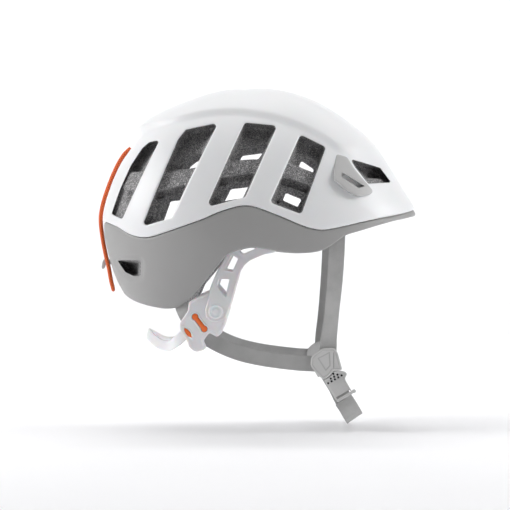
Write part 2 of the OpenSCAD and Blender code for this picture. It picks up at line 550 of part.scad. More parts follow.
shell_upper();
shell_lower();
foam_liner();
lamp_clip_left();
lamp_clip_right();
rear_hook();
rear_elastic();
forehead_pad();
crown_pad_front();
crown_pad_rear();
headband_pivot_left();
headband_pivot_right();
headband_strut_left();
headband_strut_right();
strut_rivet_left();
strut_rivet_right();
adjuster_plate_left();
adjuster_plate_right();
lock_button_left();
lock_button_right();
nape_band();
strap_anchor_front_left();
strap_anchor_front_right();
strap_anchor_rear_left();
strap_anchor_rear_right();
strap_front_left();
strap_front_right();
strap_rear_left();
strap_rear_right();
divider_left();
divider_right();
buckle_socket();
socket_magnet();
buckle_tongue();
tongue_magnet();
ladder_bar();
chin_strap();
strap_ring();
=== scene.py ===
import json
import math
import bmesh
import bpy
import numpy as np
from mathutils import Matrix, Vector, geometry

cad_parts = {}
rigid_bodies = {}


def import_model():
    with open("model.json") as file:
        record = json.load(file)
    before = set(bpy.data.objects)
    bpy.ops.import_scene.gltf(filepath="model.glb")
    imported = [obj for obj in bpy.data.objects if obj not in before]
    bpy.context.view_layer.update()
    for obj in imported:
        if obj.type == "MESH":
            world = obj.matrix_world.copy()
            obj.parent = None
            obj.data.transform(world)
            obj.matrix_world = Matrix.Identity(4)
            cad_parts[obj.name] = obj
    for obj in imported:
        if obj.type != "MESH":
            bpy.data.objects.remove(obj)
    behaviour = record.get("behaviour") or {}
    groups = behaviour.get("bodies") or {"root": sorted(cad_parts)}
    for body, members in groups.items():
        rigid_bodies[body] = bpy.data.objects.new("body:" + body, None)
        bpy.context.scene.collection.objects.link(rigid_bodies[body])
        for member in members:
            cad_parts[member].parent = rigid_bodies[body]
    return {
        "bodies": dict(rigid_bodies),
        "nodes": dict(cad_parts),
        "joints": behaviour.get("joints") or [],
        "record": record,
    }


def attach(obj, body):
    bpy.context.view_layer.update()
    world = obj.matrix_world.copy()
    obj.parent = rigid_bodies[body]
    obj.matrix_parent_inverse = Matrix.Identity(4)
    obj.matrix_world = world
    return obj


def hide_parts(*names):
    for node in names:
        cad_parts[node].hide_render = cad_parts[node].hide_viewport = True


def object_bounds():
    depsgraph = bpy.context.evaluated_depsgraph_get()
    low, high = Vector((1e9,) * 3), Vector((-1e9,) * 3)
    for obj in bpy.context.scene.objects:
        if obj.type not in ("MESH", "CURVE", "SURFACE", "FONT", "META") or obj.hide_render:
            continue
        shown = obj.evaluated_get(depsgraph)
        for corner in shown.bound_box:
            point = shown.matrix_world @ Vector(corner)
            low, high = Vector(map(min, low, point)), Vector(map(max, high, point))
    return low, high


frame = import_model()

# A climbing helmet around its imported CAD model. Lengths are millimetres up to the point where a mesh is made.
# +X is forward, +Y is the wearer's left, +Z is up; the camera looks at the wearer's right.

MM = 0.001
cad_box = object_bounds()
scene = bpy.context.scene


# ---- camera: a level view of the wearer's right side ----
def make_camera():
    data = bpy.data.cameras.new("view")
    data.sensor_width, data.lens = 36, 137.3
    data.clip_start, data.clip_end = 0.05, 50
    camera = bpy.data.objects.new("view", data)
    camera.location = (0.0091, -1.77, -0.02275)
    camera.rotation_euler = (math.pi / 2, 0, 0)
    scene.collection.objects.link(camera)
    scene.camera = camera


make_camera()

# ---- the helmet's surfaces, as in the CAD model ----
FRONT = [(-30, 140), (-15, 152), (0, 157), (7, 155), (15, 147.5), (30, 140), (45, 133), (60, 130),
         (75, 127.5), (90, 125)]
REAR = [(-45, 118), (-30, 124), (-20, 125.5), (-10, 126.5), (0, 128.5), (15, 128), (30, 127), (45, 126),
        (60, 124.5), (75, 124), (90, 125)]
SIDE = [(-50, 92), (-30, 99), (-15, 102), (0, 103), (15, 104.5), (30, 108), (45, 113), (60, 118.5),
        (75, 123), (90, 125)]
FRONT_IN = [(-50, 96), (0, 97), (30, 99), (60, 102), (90, 104)]
REAR_IN = [(-45, 97), (-30, 101), (0, 103), (60, 103.5), (90, 104)]
SIDE_IN = [(-50, 76), (-30, 78), (-15, 79), (0, 79), (15, 80), (30, 83.5), (45, 89), (60, 95.5),
           (75, 101.5), (90, 104)]
RIM = [(0, 4.8), (12, 4.2), (21, 3.4), (30, 1.8), (40, -1), (46, -3.2), (53, -8.8), (60, -11), (70, -11.2),
       (80, -10), (87, -9.2), (95, -11.4), (100, -14.3), (108, -22.8), (116, -30), (125, -36), (134, -39.6),
       (142, -39), (150, -36.2), (160, -32.6), (170, -29.4), (180, -27.5)]
JOINT = [(0, 7.2), (11.5, 6.2), (30, 4), (40, 2.3), (50, 0.1), (55, -0.6), (60, 0.2), (64, 1.6), (72, 5.2),
         (80, 8.6), (86, 10.6), (91, 11), (96, 9.9), (102, 7.9), (111, 3.9), (120, 0.7), (129, -2.2),
         (135, -3.6), (140, -3.5), (145, -2.3), (153, 0.8), (165, 2.8), (180, 3.4)]
CAVITY_RIM = [(0, 6), (30, 3), (45, -3), (60, -13), (75, -13.5), (90, -12), (100, -17), (110, -28),
              (120, -38), (130, -44), (140, -44), (155, -40), (180, -32)]
PANEL = [(0, 22), (21, 24), (32, 26), (38, 29.2), (42, 32.4), (45, 36.4), (52, 43), (62, 49.4), (74, 54.2),
         (90, 57.4), (106, 56.7), (121, 53.8), (134, 49.9), (147, 46.2), (160, 43.8), (170, 42.4), (180, 41.5)]
PANEL_SLOPE = [(0, 16), (21, 14), (34, 7), (42, 4), (62, 3.4), (146, 3.4), (170, 2.5), (180, 2)]
PANEL_HEIGHT, TAIL_HEIGHT = 3, 5.6
UPPER_WALL, LOWER_WALL, LOWER_STEP, RIM_FLANGE = 1.6, 1.4, 0.8, 5
POCKET_DEPTH, RIB_DEPTH = 15, 6

# Side vents: X and Z of the corner posts, and the posts' radius
VENTS = [
    ([(-115.5, 14.6), (-108.4, 11.3), (-78, 76), (-83.6, 75), (-89, 70.4), (-98.4, 56), (-107.6, 36)], 2),
    ([(-84.6, 5.8), (-64.8, 11.3), (-27.4, 89.4), (-50, 84.8), (-56, 77)], 2.5),
    ([(-27.6, 22.6), (-1.4, 29.6), (24.2, 87.6), (2, 89.8)], 3),
    ([(26, 24), (47.2, 16.2), (67.2, 69.8), (50.2, 78.2)], 3)]
BROW_VENT = ([(95, 59.4), (98, 54), (108.6, 40.8), (127.6, 42.6), (119.2, 53.4)], 1.2)
NAPE_VENT = ([(-113.4, -28.9), (-111.5, -28.4), (-93, -28.4), (-92.4, -29.2), (-93.2, -40.6), (-94, -41.3),
              (-99, -41.3), (-106.8, -38)], 0.6)
WINDOWS = [
    [(-77.5, 7), (-60, 9), (-52, 29.5), (-70, 27)],
    [(-55.5, 53), (-41.5, 53), (-37.5, 64.5), (-44.5, 65), (-51, 60)],
    [(-21, 24), (-2, 27), (4.6, 41), (-13.4, 38.8)],
    [(-7.5, 58), (11, 60.5), (19, 72.6), (-2.6, 70)],
    [(34, 25), (46.5, 19.6), (52.5, 29.6), (38.6, 35.2)],
    [(47, 52), (59.5, 46.8), (64, 57.4), (53, 65)]]
RIB_BOTTOM = [(-125, 40), (-110, 36.6), (-98, 32.8), (-77, 32.3), (-51, 37.4), (-20, 43.8), (9, 47.3),
              (33, 44.2), (56, 36.8), (70, 31)]
RIB_TOP = [(-125, 52), (-110, 51.6), (-98, 51), (-77, 50.4), (-51, 52), (-20, 57.5), (9, 60.5), (33, 59),
           (56, 50.5), (70, 45)]


def curve(knots, t):
    """Smooth curve through knots of (position, value), held level past both ends."""
    x, y = np.array(knots, float).T
    slope = np.gradient(y)
    slope[1:-1] = (y[2:] - y[:-2]) / (x[2:] - x[:-2])
    slope[0] = (y[1] - y[0]) / (x[1] - x[0])
    slope[-1] = (y[-1] - y[-2]) / (x[-1] - x[-2])
    t = np.clip(np.asarray(t, float), x[0], x[-1])
    i = np.clip(np.searchsorted(x, t, side="right") - 1, 0, len(x) - 2)
    h = x[i + 1] - x[i]
    s = (t - x[i]) / h
    return ((2 * s ** 3 - 3 * s ** 2 + 1) * y[i] + (s ** 3 - 2 * s ** 2 + s) * h * slope[i]
            + (3 * s ** 2 - 2 * s ** 3) * y[i + 1] + (s ** 3 - s ** 2) * h * slope[i + 1])


def smooth(t):
    u = np.clip(t, 0, 1)
    return u * u * (3 - 2 * u)


def egg(front, rear, side, th, e):
    c, s = np.cos(np.radians(th)), np.abs(np.sin(np.radians(th)))
    along = np.where(c >= 0, curve(front, e), curve(rear, e))
    n = 2 + 0.3 * np.cos(np.radians(e))
    return ((np.abs(c) / along) ** n + (s / curve(side, e)) ** n) ** (-1 / n)


def skin(th, e):
    """Radius of the outer surface against the angle from the front and the elevation."""
    a = np.abs(th)
    tail = smooth(a / 40 - 3.5) * smooth((70 - e) / 28) * TAIL_HEIGHT
    rise = (PANEL_HEIGHT + tail) * smooth((e - curve(PANEL, a)) / curve(PANEL_SLOPE, a))
    return egg(FRONT, REAR, SIDE, th, e) + rise


def cavity(th, e):
    return egg(FRONT_IN, REAR_IN, SIDE_IN, th, e)


def place(th, e, r):
    t, u = np.radians(th), np.radians(e)
    return np.stack([r * np.cos(u) * np.cos(t), r * np.cos(u) * np.sin(t), r * np.sin(u)], -1)


def polar(x, y, z):
    r = np.sqrt(x * x + y * y + z * z)
    return r, np.degrees(np.arctan2(y, x)), np.degrees(np.arcsin(z / np.maximum(r, 1e-6)))


def side_angles(xz, surface=skin):
    """Angle and elevation of the places on the wearer's right that are seen from the side at X and Z."""
    x, z = xz[:, 0], xz[:, 1]
    low, high = np.zeros(len(x)), np.full(len(x), 130.0)
    for _ in range(24):
        y = (low + high) / 2
        r, th, e = polar(x, y, z)
        inside = r < surface(th, e)
        low, high = np.where(inside, y, low), np.where(inside, high, y)
    _, th, e = polar(x, y, z)
    return -th, e


def round_outline(posts, radius, step=1.0):
    """Outline round circles of one radius on the corners of a convex shape, in X and Z."""
    p = np.array(posts, float)
    q = np.roll(p, -1, 0)
    if np.sum(p[:, 0] * q[:, 1] - q[:, 0] * p[:, 1]) < 0:
        p = p[::-1]
        q = np.roll(p, -1, 0)
    run = q - p
    out = np.stack([run[:, 1], -run[:, 0]], 1) / np.linalg.norm(run, axis=1)[:, None]
    points = []
    for i in range(len(p)):
        a = math.atan2(out[i - 1][1], out[i - 1][0])
        b = math.atan2(out[i][1], out[i][0])
        b += 2 * math.pi if b < a else 0
        count = max(2, int((b - a) * max(radius, 0.8) / step * 1.6) + 1)
        points += [p[i] + radius * np.array([math.cos(t), math.sin(t)]) for t in np.linspace(a, b, count)]
        start, end = p[i] + radius * out[i], q[i] + radius * out[i]
        count = max(1, int(np.linalg.norm(end - start) / step))
        points += [start + (end - start) * k / count for k in range(1, count)]
    return np.array(points)


def outline_distance(points, x, z):
    """Signed distance in X and Z to a closed outline, negative inside."""
    p = np.array(points, float)
    q = np.roll(p, -1, 0)
    best = np.full(np.broadcast(x, z).shape, 1e9)
    inside = np.zeros(best.shape, bool)
    for a, b in zip(p, q):
        run = b - a
        t = np.clip(((x - a[0]) * run[0] + (z - a[1]) * run[1]) / (run @ run + 1e-12), 0, 1)
        best = np.minimum(best, (x - a[0] - t * run[0]) ** 2 + (z - a[1] - t * run[1]) ** 2)
        crosses = ((a[1] > z) != (b[1] > z)) & (x < (b[0] - a[0]) * (z - a[1]) / (b[1] - a[1] + 1e-12) + a[0])
        inside ^= crosses
    d = np.sqrt(best)
    return np.where(inside, -d, d)


# ---- making meshes ----
def make_piece(name, points, faces, sharp=40):
    """A mesh object from points in millimetres, with outward normals and smooth shading."""
    mesh = bpy.data.meshes.new(name)
    mesh.from_pydata((np.asarray(points) * MM).tolist(), [], [list(map(int, f)) for f in faces])
    bm = bmesh.new()
    bm.from_mesh(mesh)
    bmesh.ops.recalc_face_normals(bm, faces=bm.faces)
    bm.to_mesh(mesh)
    bm.free()
    mesh.shade_smooth()
    mesh.set_sharp_from_angle(angle=math.radians(sharp))
    obj = bpy.data.objects.new(name, mesh)
    scene.collection.objects.link(obj)
    return obj


def finish_piece(obj, body, material, slot, *nodes):
    obj.data.materials.clear()
    obj.data.materials.append(material)
    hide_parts(*nodes)
    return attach(obj, body)


def smooth_max(a, b, k):
    return np.maximum(a, b) + np.maximum(k - np.abs(a - b), 0) ** 2 / (4 * k)


def smooth_min(a, b, k):
    return -smooth_max(-a, -b, k)


def net(field, low, step):
    """Closed mesh of the places where a field on a grid is zero, one point in each cell that it crosses."""
    inside = field < 0
    shape = np.array(field.shape) - 1
    corners = [(i, j, k) for i in (0, 1) for j in (0, 1) for k in (0, 1)]

    def part(array, c):
        return array[c[0]:c[0] + shape[0], c[1]:c[1] + shape[1], c[2]:c[2] + shape[2]]

    count = sum(part(inside, c).astype(np.int8) for c in corners)
    cells = np.argwhere((count > 0) & (count < 8))
    number = np.full(shape, -1, np.int64)
    number[tuple(cells.T)] = np.arange(len(cells))
    total, crossings = np.zeros((len(cells), 3)), np.zeros(len(cells))
    for axis in range(3):
        for c in corners:
            if c[axis]:
                continue
            d = list(c)
            d[axis] = 1
            fa = field[tuple((cells + c).T)]
            fb = field[tuple((cells + d).T)]
            hit = (fa < 0) != (fb < 0)
            t = np.where(hit, fa / np.where(hit, fa - fb, 1), 0)
            spot = np.tile(np.array(c, float), (len(cells), 1))
            spot[:, axis] = t
            total += spot * hit[:, None]
            crossings += hit
    points = (cells + total / crossings[:, None]) * step + np.array(low)
    quads = []
    for axis in range(3):
        u, v = [a for a in range(3) if a != axis]
        ahead = [slice(None)] * 3
        behind = [slice(None)] * 3
        ahead[axis], behind[axis] = slice(1, None), slice(None, -1)
        edges = np.argwhere(inside[tuple(ahead)] != inside[tuple(behind)])
        keep = (edges[:, u] > 0) & (edges[:, v] > 0) & (edges[:, u] < shape[u]) & (edges[:, v] < shape[v])
        edges = edges[keep]
        around = []
        for du, dv in ((0, 0), (1, 0), (1, 1), (0, 1)):
            cell = edges.copy()
            cell[:, u] -= du
            cell[:, v] -= dv
            around.append(number[tuple(cell.T)])
        quads.append(np.stack(around, 1))
    return points, np.concatenate(quads)


def grid(low, high, step):
    axes = [np.arange(low[i], high[i] + step, step) for i in range(3)]
    return axes[0][:, None, None], axes[1][None, :, None], axes[2][None, None, :]


def soften(field, radius, step):
    """A field blurred in X and Z, which rounds the corners of an outline."""
    k = max(1, int(round(radius / step)))
    for axis in (0, 2):
        for _ in range(2):
            padded = np.concatenate([field.take([0], axis)] * k + [field] + [field.take([-1], axis)] * k, axis)
            sums = np.cumsum(np.concatenate([np.zeros_like(padded.take([0], axis)), padded], axis), axis)
            n = field.shape[axis]
            width = 2 * k + 1
            field = (sums.take(range(width, width + n), axis) - sums.take(range(n), axis)) / width
    return field


def moulded(name, shape, low, high, step, sides=("right",), sharp=60):
    """Moulded pieces from a signed distance of X, the distance from the middle plane, and Z."""
    points, quads = net(shape(*grid(low, high, step)), low, step)
    made = []
    for side in sides:
        p = points.copy()
        p[:, 1] *= -1 if side == "right" else 1
        made.append(make_piece(f"{name}_{side}" if len(sides) > 1 else name, p, quads, sharp))
    return made


BOTH = ("right", "left")


def moulded_pair(name, shape, low, high, step, body, material, slot, node):
    """A moulded piece on each side. The names of the body and the node may hold the side."""
    for obj, side in zip(moulded(name, shape, low, high, step, BOTH), BOTH):
        finish_piece(obj, body.format(side), material, slot, node.format(side))


def spline(p, parts):
    p = np.array(p, float)
    made = []
    for i in range(len(p) - 1):
        a, b, c, d = p[max(i - 1, 0)], p[i], p[i + 1], p[min(i + 2, len(p) - 1)]
        for k in range(parts):
            s = k / parts
            made.append(0.5 * (2 * b + (c - a) * s + (2 * a - 5 * b + 4 * c - d) * s ** 2
                               + (3 * b - a - 3 * c + d) * s ** 3))
    return np.array(made + [p[-1]])


def unit(v):
    return v / np.linalg.norm(v, axis=-1, keepdims=True)


def mirrored(p):
    """A route on the wearer's right, carried on over the middle plane to the left."""
    p = np.array(p, float)
    return np.concatenate([p, p[-2::-1] * [1, -1, 1]])


def sweep(name, route, across, section, parts, scale=None, sharp=50):
    """A section of (across, thickness) points carried along a route. Its place along and across, in
    millimetres, is kept as the attribute run."""
    p, w = spline(route, parts), spline(across, parts)
    n, k = len(p), len(section)
    t = unit(np.concatenate([p[1:2] - p[:1], p[2:] - p[:-2], p[-1:] - p[-2:-1]]))
    b = unit(w - np.sum(w * t, 1, keepdims=True) * t)
    c = unit(np.cross(t, b))
    s = np.ones((n, 2)) if scale is None else np.array(scale(np.linspace(0, 1, n))).T
    section = np.array(section, float)
    rings = (p[:, None] + b[:, None] * (section[None, :, :1] * s[:, None, :1])
             + c[:, None] * (section[None, :, 1:] * s[:, None, 1:]))
    faces = [(i * k + j, i * k + (j + 1) % k, (i + 1) * k + (j + 1) % k, (i + 1) * k + j)
             for i in range(n - 1) for j in range(k)]
    faces += [tuple(range(k)), tuple(range((n - 1) * k, n * k))]
    obj = make_piece(name, rings.reshape(-1, 3), faces, sharp)
    length = np.concatenate([[0], np.cumsum(np.linalg.norm(np.diff(p, axis=0), axis=1))])
    edge = np.linalg.norm(np.diff(section, axis=0, append=section[:1]), axis=1)
    round_it = np.concatenate([[0], np.cumsum(edge)[:-1]])
    run = np.zeros((n, k, 3), np.float32)
    run[..., 0] = length[:, None]
    run[..., 1] = section[None, :, 0]
    run[..., 2] = round_it[None]
    obj.data.attributes.new("run", "FLOAT_VECTOR", "POINT").data.foreach_set("vector", run.ravel())
    return obj, length[-1]


def turned(name, profile, x, z, near, sides=BOTH, segments=48):
    """Round pieces turned about an axis along Y. The profile is (radius, distance outwards) points."""
    made = []
    for side in sides:
        sign = -1 if side == "right" else 1
        a = np.arange(segments) * 2 * math.pi / segments
        rings = [np.stack([x + r * np.cos(a), np.full(segments, sign * (near + y)), z + r * np.sin(a)], -1)
                 for r, y in profile]
        faces = [(i * segments + j, i * segments + (j + 1) % segments, (i + 1) * segments + (j + 1) % segments,
                  (i + 1) * segments + j) for i in range(len(profile) - 1) for j in range(segments)]
        last = (len(profile) - 1) * segments
        faces += [tuple(range(segments)), tuple(range(last, last + segments))]
        made.append(make_piece(f"{name}_{side}", np.concatenate(rings), faces, 35))
    return made


# ---- materials ----
class Finish:
    """A principled material with its nodes: add() makes a node, and links or sets its inputs."""

    def __init__(self, name, roughness=0.5, **sockets):
        self.material = bpy.data.materials.new(name)
        self.material.use_nodes = True
        self.tree = self.material.node_tree
        self.shader = next(n for n in self.tree.nodes if n.type == "BSDF_PRINCIPLED")
        self.shader.inputs["Roughness"].default_value = roughness
        for key, value in sockets.items():
            self.shader.inputs[key.replace("_", " ")].default_value = value
        self.where = self.add("ShaderNodeTexCoord").outputs["Object"]

    def add(self, kind, inputs=(), **settings):
        node = self.tree.nodes.new(kind)
        for key, value in settings.items():
            setattr(node, key, value)
        for key, value in dict(inputs).items():
            if isinstance(value, bpy.types.NodeSocket):
                self.tree.links.new(value, node.inputs[key])
            else:
                node.inputs[key].default_value = value
        return node

    def noise(self, scale, detail=3, vector=None, roughness=0.55):
        return self.add("ShaderNodeTexNoise", {"Vector": vector or self.where, "Scale": scale, "Detail": detail,
                                               "Roughness": roughness}).outputs["Fac"]

    def cells(self, scale, feature="F1", output="Distance", randomness=1.0, vector=None):
        return self.add("ShaderNodeTexVoronoi", {"Vector": vector or self.where, "Scale": scale,
                                                 "Randomness": randomness}, feature=feature).outputs[output]

    def math(self, operation, a, b=0.0, c=0.0):
        return self.add("ShaderNodeMath", {0: a, 1: b, 2: c}, operation=operation).outputs[0]

    def plus(self, a, b):
        return self.math("ADD", a, b)

    def times(self, a, b):
        return self.math("MULTIPLY", a, b)

    def ramp(self, fac, *stops):
        node = self.add("ShaderNodeValToRGB", {"Fac": fac})
        band = node.color_ramp.elements
        while len(band) < len(stops):
            band.new(0.5)
        for element, (position, colour) in zip(band, stops):
            element.position = position
            element.color = (*colour, 1) if len(colour) == 3 else colour
        return node.outputs["Color"]

    def range(self, fac, low, high, to_low, to_high):
        return self.add("ShaderNodeMapRange", {"Value": fac, "From Min": low, "From Max": high,
                                               "To Min": to_low, "To Max": to_high}).outputs["Result"]

    def mix(self, fac, a, b):
        node = self.add("ShaderNodeMix", data_type="RGBA")
        for socket, value in zip((node.inputs[0], node.inputs[6], node.inputs[7]), (fac, a, b)):
            if isinstance(value, bpy.types.NodeSocket):
                self.tree.links.new(value, socket)
            else:
                socket.default_value = value
        return node.outputs[2]

    def bump(self, height, strength, distance, normal=None):
        inputs = {"Height": height, "Strength": strength, "Distance": distance}
        if normal:
            inputs["Normal"] = normal
        return self.add("ShaderNodeBump", inputs).outputs["Normal"]

    def attribute(self, name="run"):
        vector = self.add("ShaderNodeAttribute", attribute_name=name).outputs["Vector"]
        parts = self.add("ShaderNodeSeparateXYZ", {0: vector})
        return parts.outputs["X"], parts.outputs["Y"], parts.outputs["Z"]

    def set(self, **sockets):
        for key, socket in sockets.items():
            self.tree.links.new(socket, self.shader.inputs[key.replace("_", " ")])
        return self.material

    def edges(self):
        """Convex edges, for wear and for light catching on them."""
        return self.add("ShaderNodeNewGeometry").outputs["Pointiness"]


def grey(v):
    return (v, v, v * 1.015)


def plastic(name, colour, roughness, grain=0.05, grain_scale=1400, edge=1.12, shade=0.96, painted_shade="", **sockets):
    """Moulded plastic: a fine spark-eroded grain, slow colour drift, faint scuffs, and convex edges painted
    lighter, partly as wear and partly as painted highlight. A named vertex attribute, if given, is painted
    shade that darkens hole floors and grooves."""
    f = Finish(name, roughness, **sockets)
    drift = f.noise(14, 2)
    darker = tuple(c * shade for c in colour)
    lighter = tuple(min(1, c * edge) for c in colour)
    base = f.ramp(drift, (0.35, darker), (0.65, colour))
    # convex edges painted lighter: partly wear, partly painted highlight where light would catch them
    wear_and_edge_highlight = f.range(f.edges(), 0.51, 0.56, 0, 0.7)
    scuffs = f.add("ShaderNodeMapping", {"Vector": f.where, "Scale": (30, 30, 260)}).outputs["Vector"]
    marks = f.noise(1.6, 5, scuffs, 0.7)
    rough = f.range(f.plus(f.times(marks, 0.5), f.noise(60, 4)), 0.5, 1.1,
                    roughness - 0.05, roughness + 0.08)
    grained = f.plus(f.noise(grain_scale, 2), f.times(f.noise(grain_scale * 0.28, 2), 0.6))
    base = f.mix(wear_and_edge_highlight, base, (*lighter, 1))
    # painted shade: the vertex attribute darkens hole floors and groove lines towards near black
    if painted_shade:
        base = f.mix(f.add("ShaderNodeAttribute", attribute_name=painted_shade).outputs["Fac"], base, (*grey(0.02), 1))
    return f.set(Base_Color=base, Roughness=rough, Normal=f.bump(grained, grain, 0.0003))


def foam_finish():
    """Moulded bead foam: beads pressed flat against each other, dark seams, pale flecks on the skin."""
    f = Finish("bead_foam", 0.8)
    bead = 290
    warped = f.add("ShaderNodeVectorMath", {0: f.where, 1: (0.37, 0.11, 0.23)}, operation="ADD").outputs[0]
    seam = f.cells(bead, "DISTANCE_TO_EDGE", vector=warped)
    tone = f.cells(bead, "F1", "Color", vector=warped)
    shade = f.add("ShaderNodeSeparateColor", {0: tone}).outputs[0]
    base = f.ramp(shade, (0.0, grey(0.17)), (0.55, grey(0.21)), (0.9, grey(0.26)))
    fleck = f.range(f.noise(1050, 2), 0.5, 0.6, 0, 0.85)
    base = f.mix(fleck, base, (0.62, 0.6, 0.6, 1))
    base = f.mix(f.range(f.noise(1250, 2), 0.38, 0.46, 0.7, 0), base, (*grey(0.06), 1))
    groove = f.range(seam, 0.0, 0.06, 0.5, 0)
    base = f.mix(groove, base, (*grey(0.06), 1))
    height = f.plus(f.range(seam, 0, 0.16, 0, 1), f.times(f.noise(1100, 3), 0.55))
    return f.set(Base_Color=base, Normal=f.bump(height, 0.6, 0.0007),
                 Roughness=f.range(f.noise(500), 0.3, 0.7, 0.62, 0.86))


def webbing_finish(name, colour, pitch=0.95):
    """Flat webbing: twill ribs across the strap, warp threads along it, a firm selvedge, a little fuzz."""
    f = Finish(name, 0.72, Sheen_Weight=0.25, Sheen_Roughness=0.5)
    along, across, _ = f.attribute()
    lean = f.plus(along, f.times(f.math("ABSOLUTE", across), 0.55))
    ribs = f.math("SINE", f.times(lean, 2 * math.pi / pitch))
    warp = f.math("SINE", f.times(across, 2 * math.pi / 0.8))
    weave = f.times(f.plus(ribs, f.times(ribs, warp)), 0.5)
    fuzz = f.noise(2600, 2)
    tone = f.plus(f.times(f.plus(weave, fuzz), 0.3), f.noise(70, 3))
    low = tuple(c * 0.74 for c in colour)
    high = tuple(c * 1.14 for c in colour)
    base = f.ramp(f.range(tone, 0.1, 1.25, 0, 1), (0.0, low), (0.5, colour), (1.0, high))
    height = f.plus(weave, f.times(fuzz, 0.6))
    return f.set(Base_Color=base, Normal=f.bump(height, 0.45, 0.00028))


def cord_finish():
    """Braided elastic: strands crossing round the cord, with rubber showing darker between them."""
    f = Finish("braided_elastic", 0.62, Sheen_Weight=0.08)
    along, _, round_it = f.attribute()
    circle = math.pi * CORD_D
    turns = f.times(round_it, 2 * math.pi * 4 / circle)
    run = f.times(along, 2 * math.pi / 2.6)
    one = f.math("SINE", f.plus(turns, run))
    two = f.math("SINE", f.math("SUBTRACT", turns, run))
    braid = f.math("MAXIMUM", one, two)
    base = f.ramp(f.range(braid, -0.6, 1, 0, 1), (0.0, (0.3, 0.028, 0.006)), (0.45, (0.8, 0.112, 0.016)),
                  (1.0, (0.9, 0.168, 0.03)))
    return f.set(Base_Color=base, Normal=f.bump(f.plus(braid, f.times(f.noise(3000), 0.4)),
                                                0.6, 0.0003))


def pad_finish():
    """Knitted cover: rows of small loops with a soft sheen."""
    f = Finish("knitted_cover", 0.85, Sheen_Weight=0.5, Sheen_Roughness=0.45)
    loops = f.cells(900, "F1", randomness=0.25)
    rows = f.cells(900, "DISTANCE_TO_EDGE", randomness=0.25)
    base = f.ramp(f.plus(loops, f.times(f.noise(120), 0.4)), (0.2, grey(0.055)),
                  (0.9, grey(0.022)))
    return f.set(Base_Color=base, Normal=f.bump(f.plus(rows, f.times(f.noise(2500), 0.3)),
                                                0.5, 0.0005))


def metal_finish():
    f = Finish("nickel_plate", 0.3, Metallic=1.0)
    brushed = f.add("ShaderNodeMapping", {"Vector": f.where, "Scale": (900, 60, 900)}).outputs["Vector"]
    lines = f.noise(3, 3, brushed)
    return f.set(Base_Color=f.ramp(f.noise(40), (0.3, (0.5, 0.5, 0.51)), (0.7, (0.62, 0.62, 0.63))),
                 Roughness=f.range(lines, 0.3, 0.7, 0.22, 0.4), Normal=f.bump(lines, 0.15, 0.0002))


CORD_D = 3.3
WHITE = plastic("white_shell", (0.8, 0.805, 0.815), 0.42, 0.05, 1500, edge=1.04, shade=0.985,
                Subsurface_Weight=0.06, Subsurface_Scale=0.002)
GREY = plastic("grey_shell", (0.335, 0.332, 0.329), 0.5, 0.12, 1200, edge=1.15, shade=0.95)
FOAM = foam_finish()
PAD = pad_finish()
CLIP = plastic("grey_clip", (0.47, 0.468, 0.465), 0.45, 0.1, 1300)
FROST = plastic("frosted_plastic", (0.8, 0.81, 0.83), 0.36, 0.05, 1500, edge=1.05, shade=0.97,
                Subsurface_Weight=0.35, Subsurface_Scale=0.003)
ORANGE = plastic("orange_plastic", (0.9, 0.172, 0.03), 0.42, 0.08, 1300)
ORANGE_CORD = cord_finish()
WEB = webbing_finish("grey_webbing", (0.41, 0.408, 0.404))
BUCKLE = plastic("grey_buckle", (0.6, 0.597, 0.592), 0.5, 0.14, 1100)
# grip plastic carrying painted shade in its dimples, slot and grooves, from a vertex attribute
GRIP = plastic("grey_grip", (0.6, 0.597, 0.592), 0.5, 0.14, 1100, painted_shade="painted_shade")
METAL = metal_finish()

# ---- the two shells ----
# Millimetres to a degree on the shell, the distances of a lip's rings from its edge, and the widest angle in
# degrees of a loop that stays on one side
DEGREE, LIP, ONE_SIDE = 2.1, [0, 0.25, 0.6, 1.1, 1.8, 2.7], 150


def lip_drop(d, width):
    """How far a rolled edge has turned down at a distance from the edge."""
    u = np.clip(1 - np.asarray(d) / width, 0, 1)
    return width * (1 - np.sqrt(1 - u * u))


def flat_map(th, e):
    s = np.tan(np.radians((90 - e) / 2))
    return np.stack([s * np.cos(np.radians(th)), s * np.sin(np.radians(th))], -1)


def vent_loops(posts, radius, both=True):
    """Loops round one vent on both sides, from its edge outwards, as angles and elevations."""
    loops = []
    for side in (-1, 1) if both else (-1,):
        rings = []
        for d in LIP:
            th, e = side_angles(round_outline(posts, radius + d, 1.2))
            rings.append((side * np.abs(th), e, np.full(len(th), float(d))))
        loops.append(rings)
    return loops


def edge_loop(edge, direction, shift):
    th = np.linspace(-180, 180, 421)[:-1]
    base = curve(edge, np.abs(th)) + shift
    return [(th, base + direction * d / DEGREE, np.full(len(th), float(d))) for d in LIP]


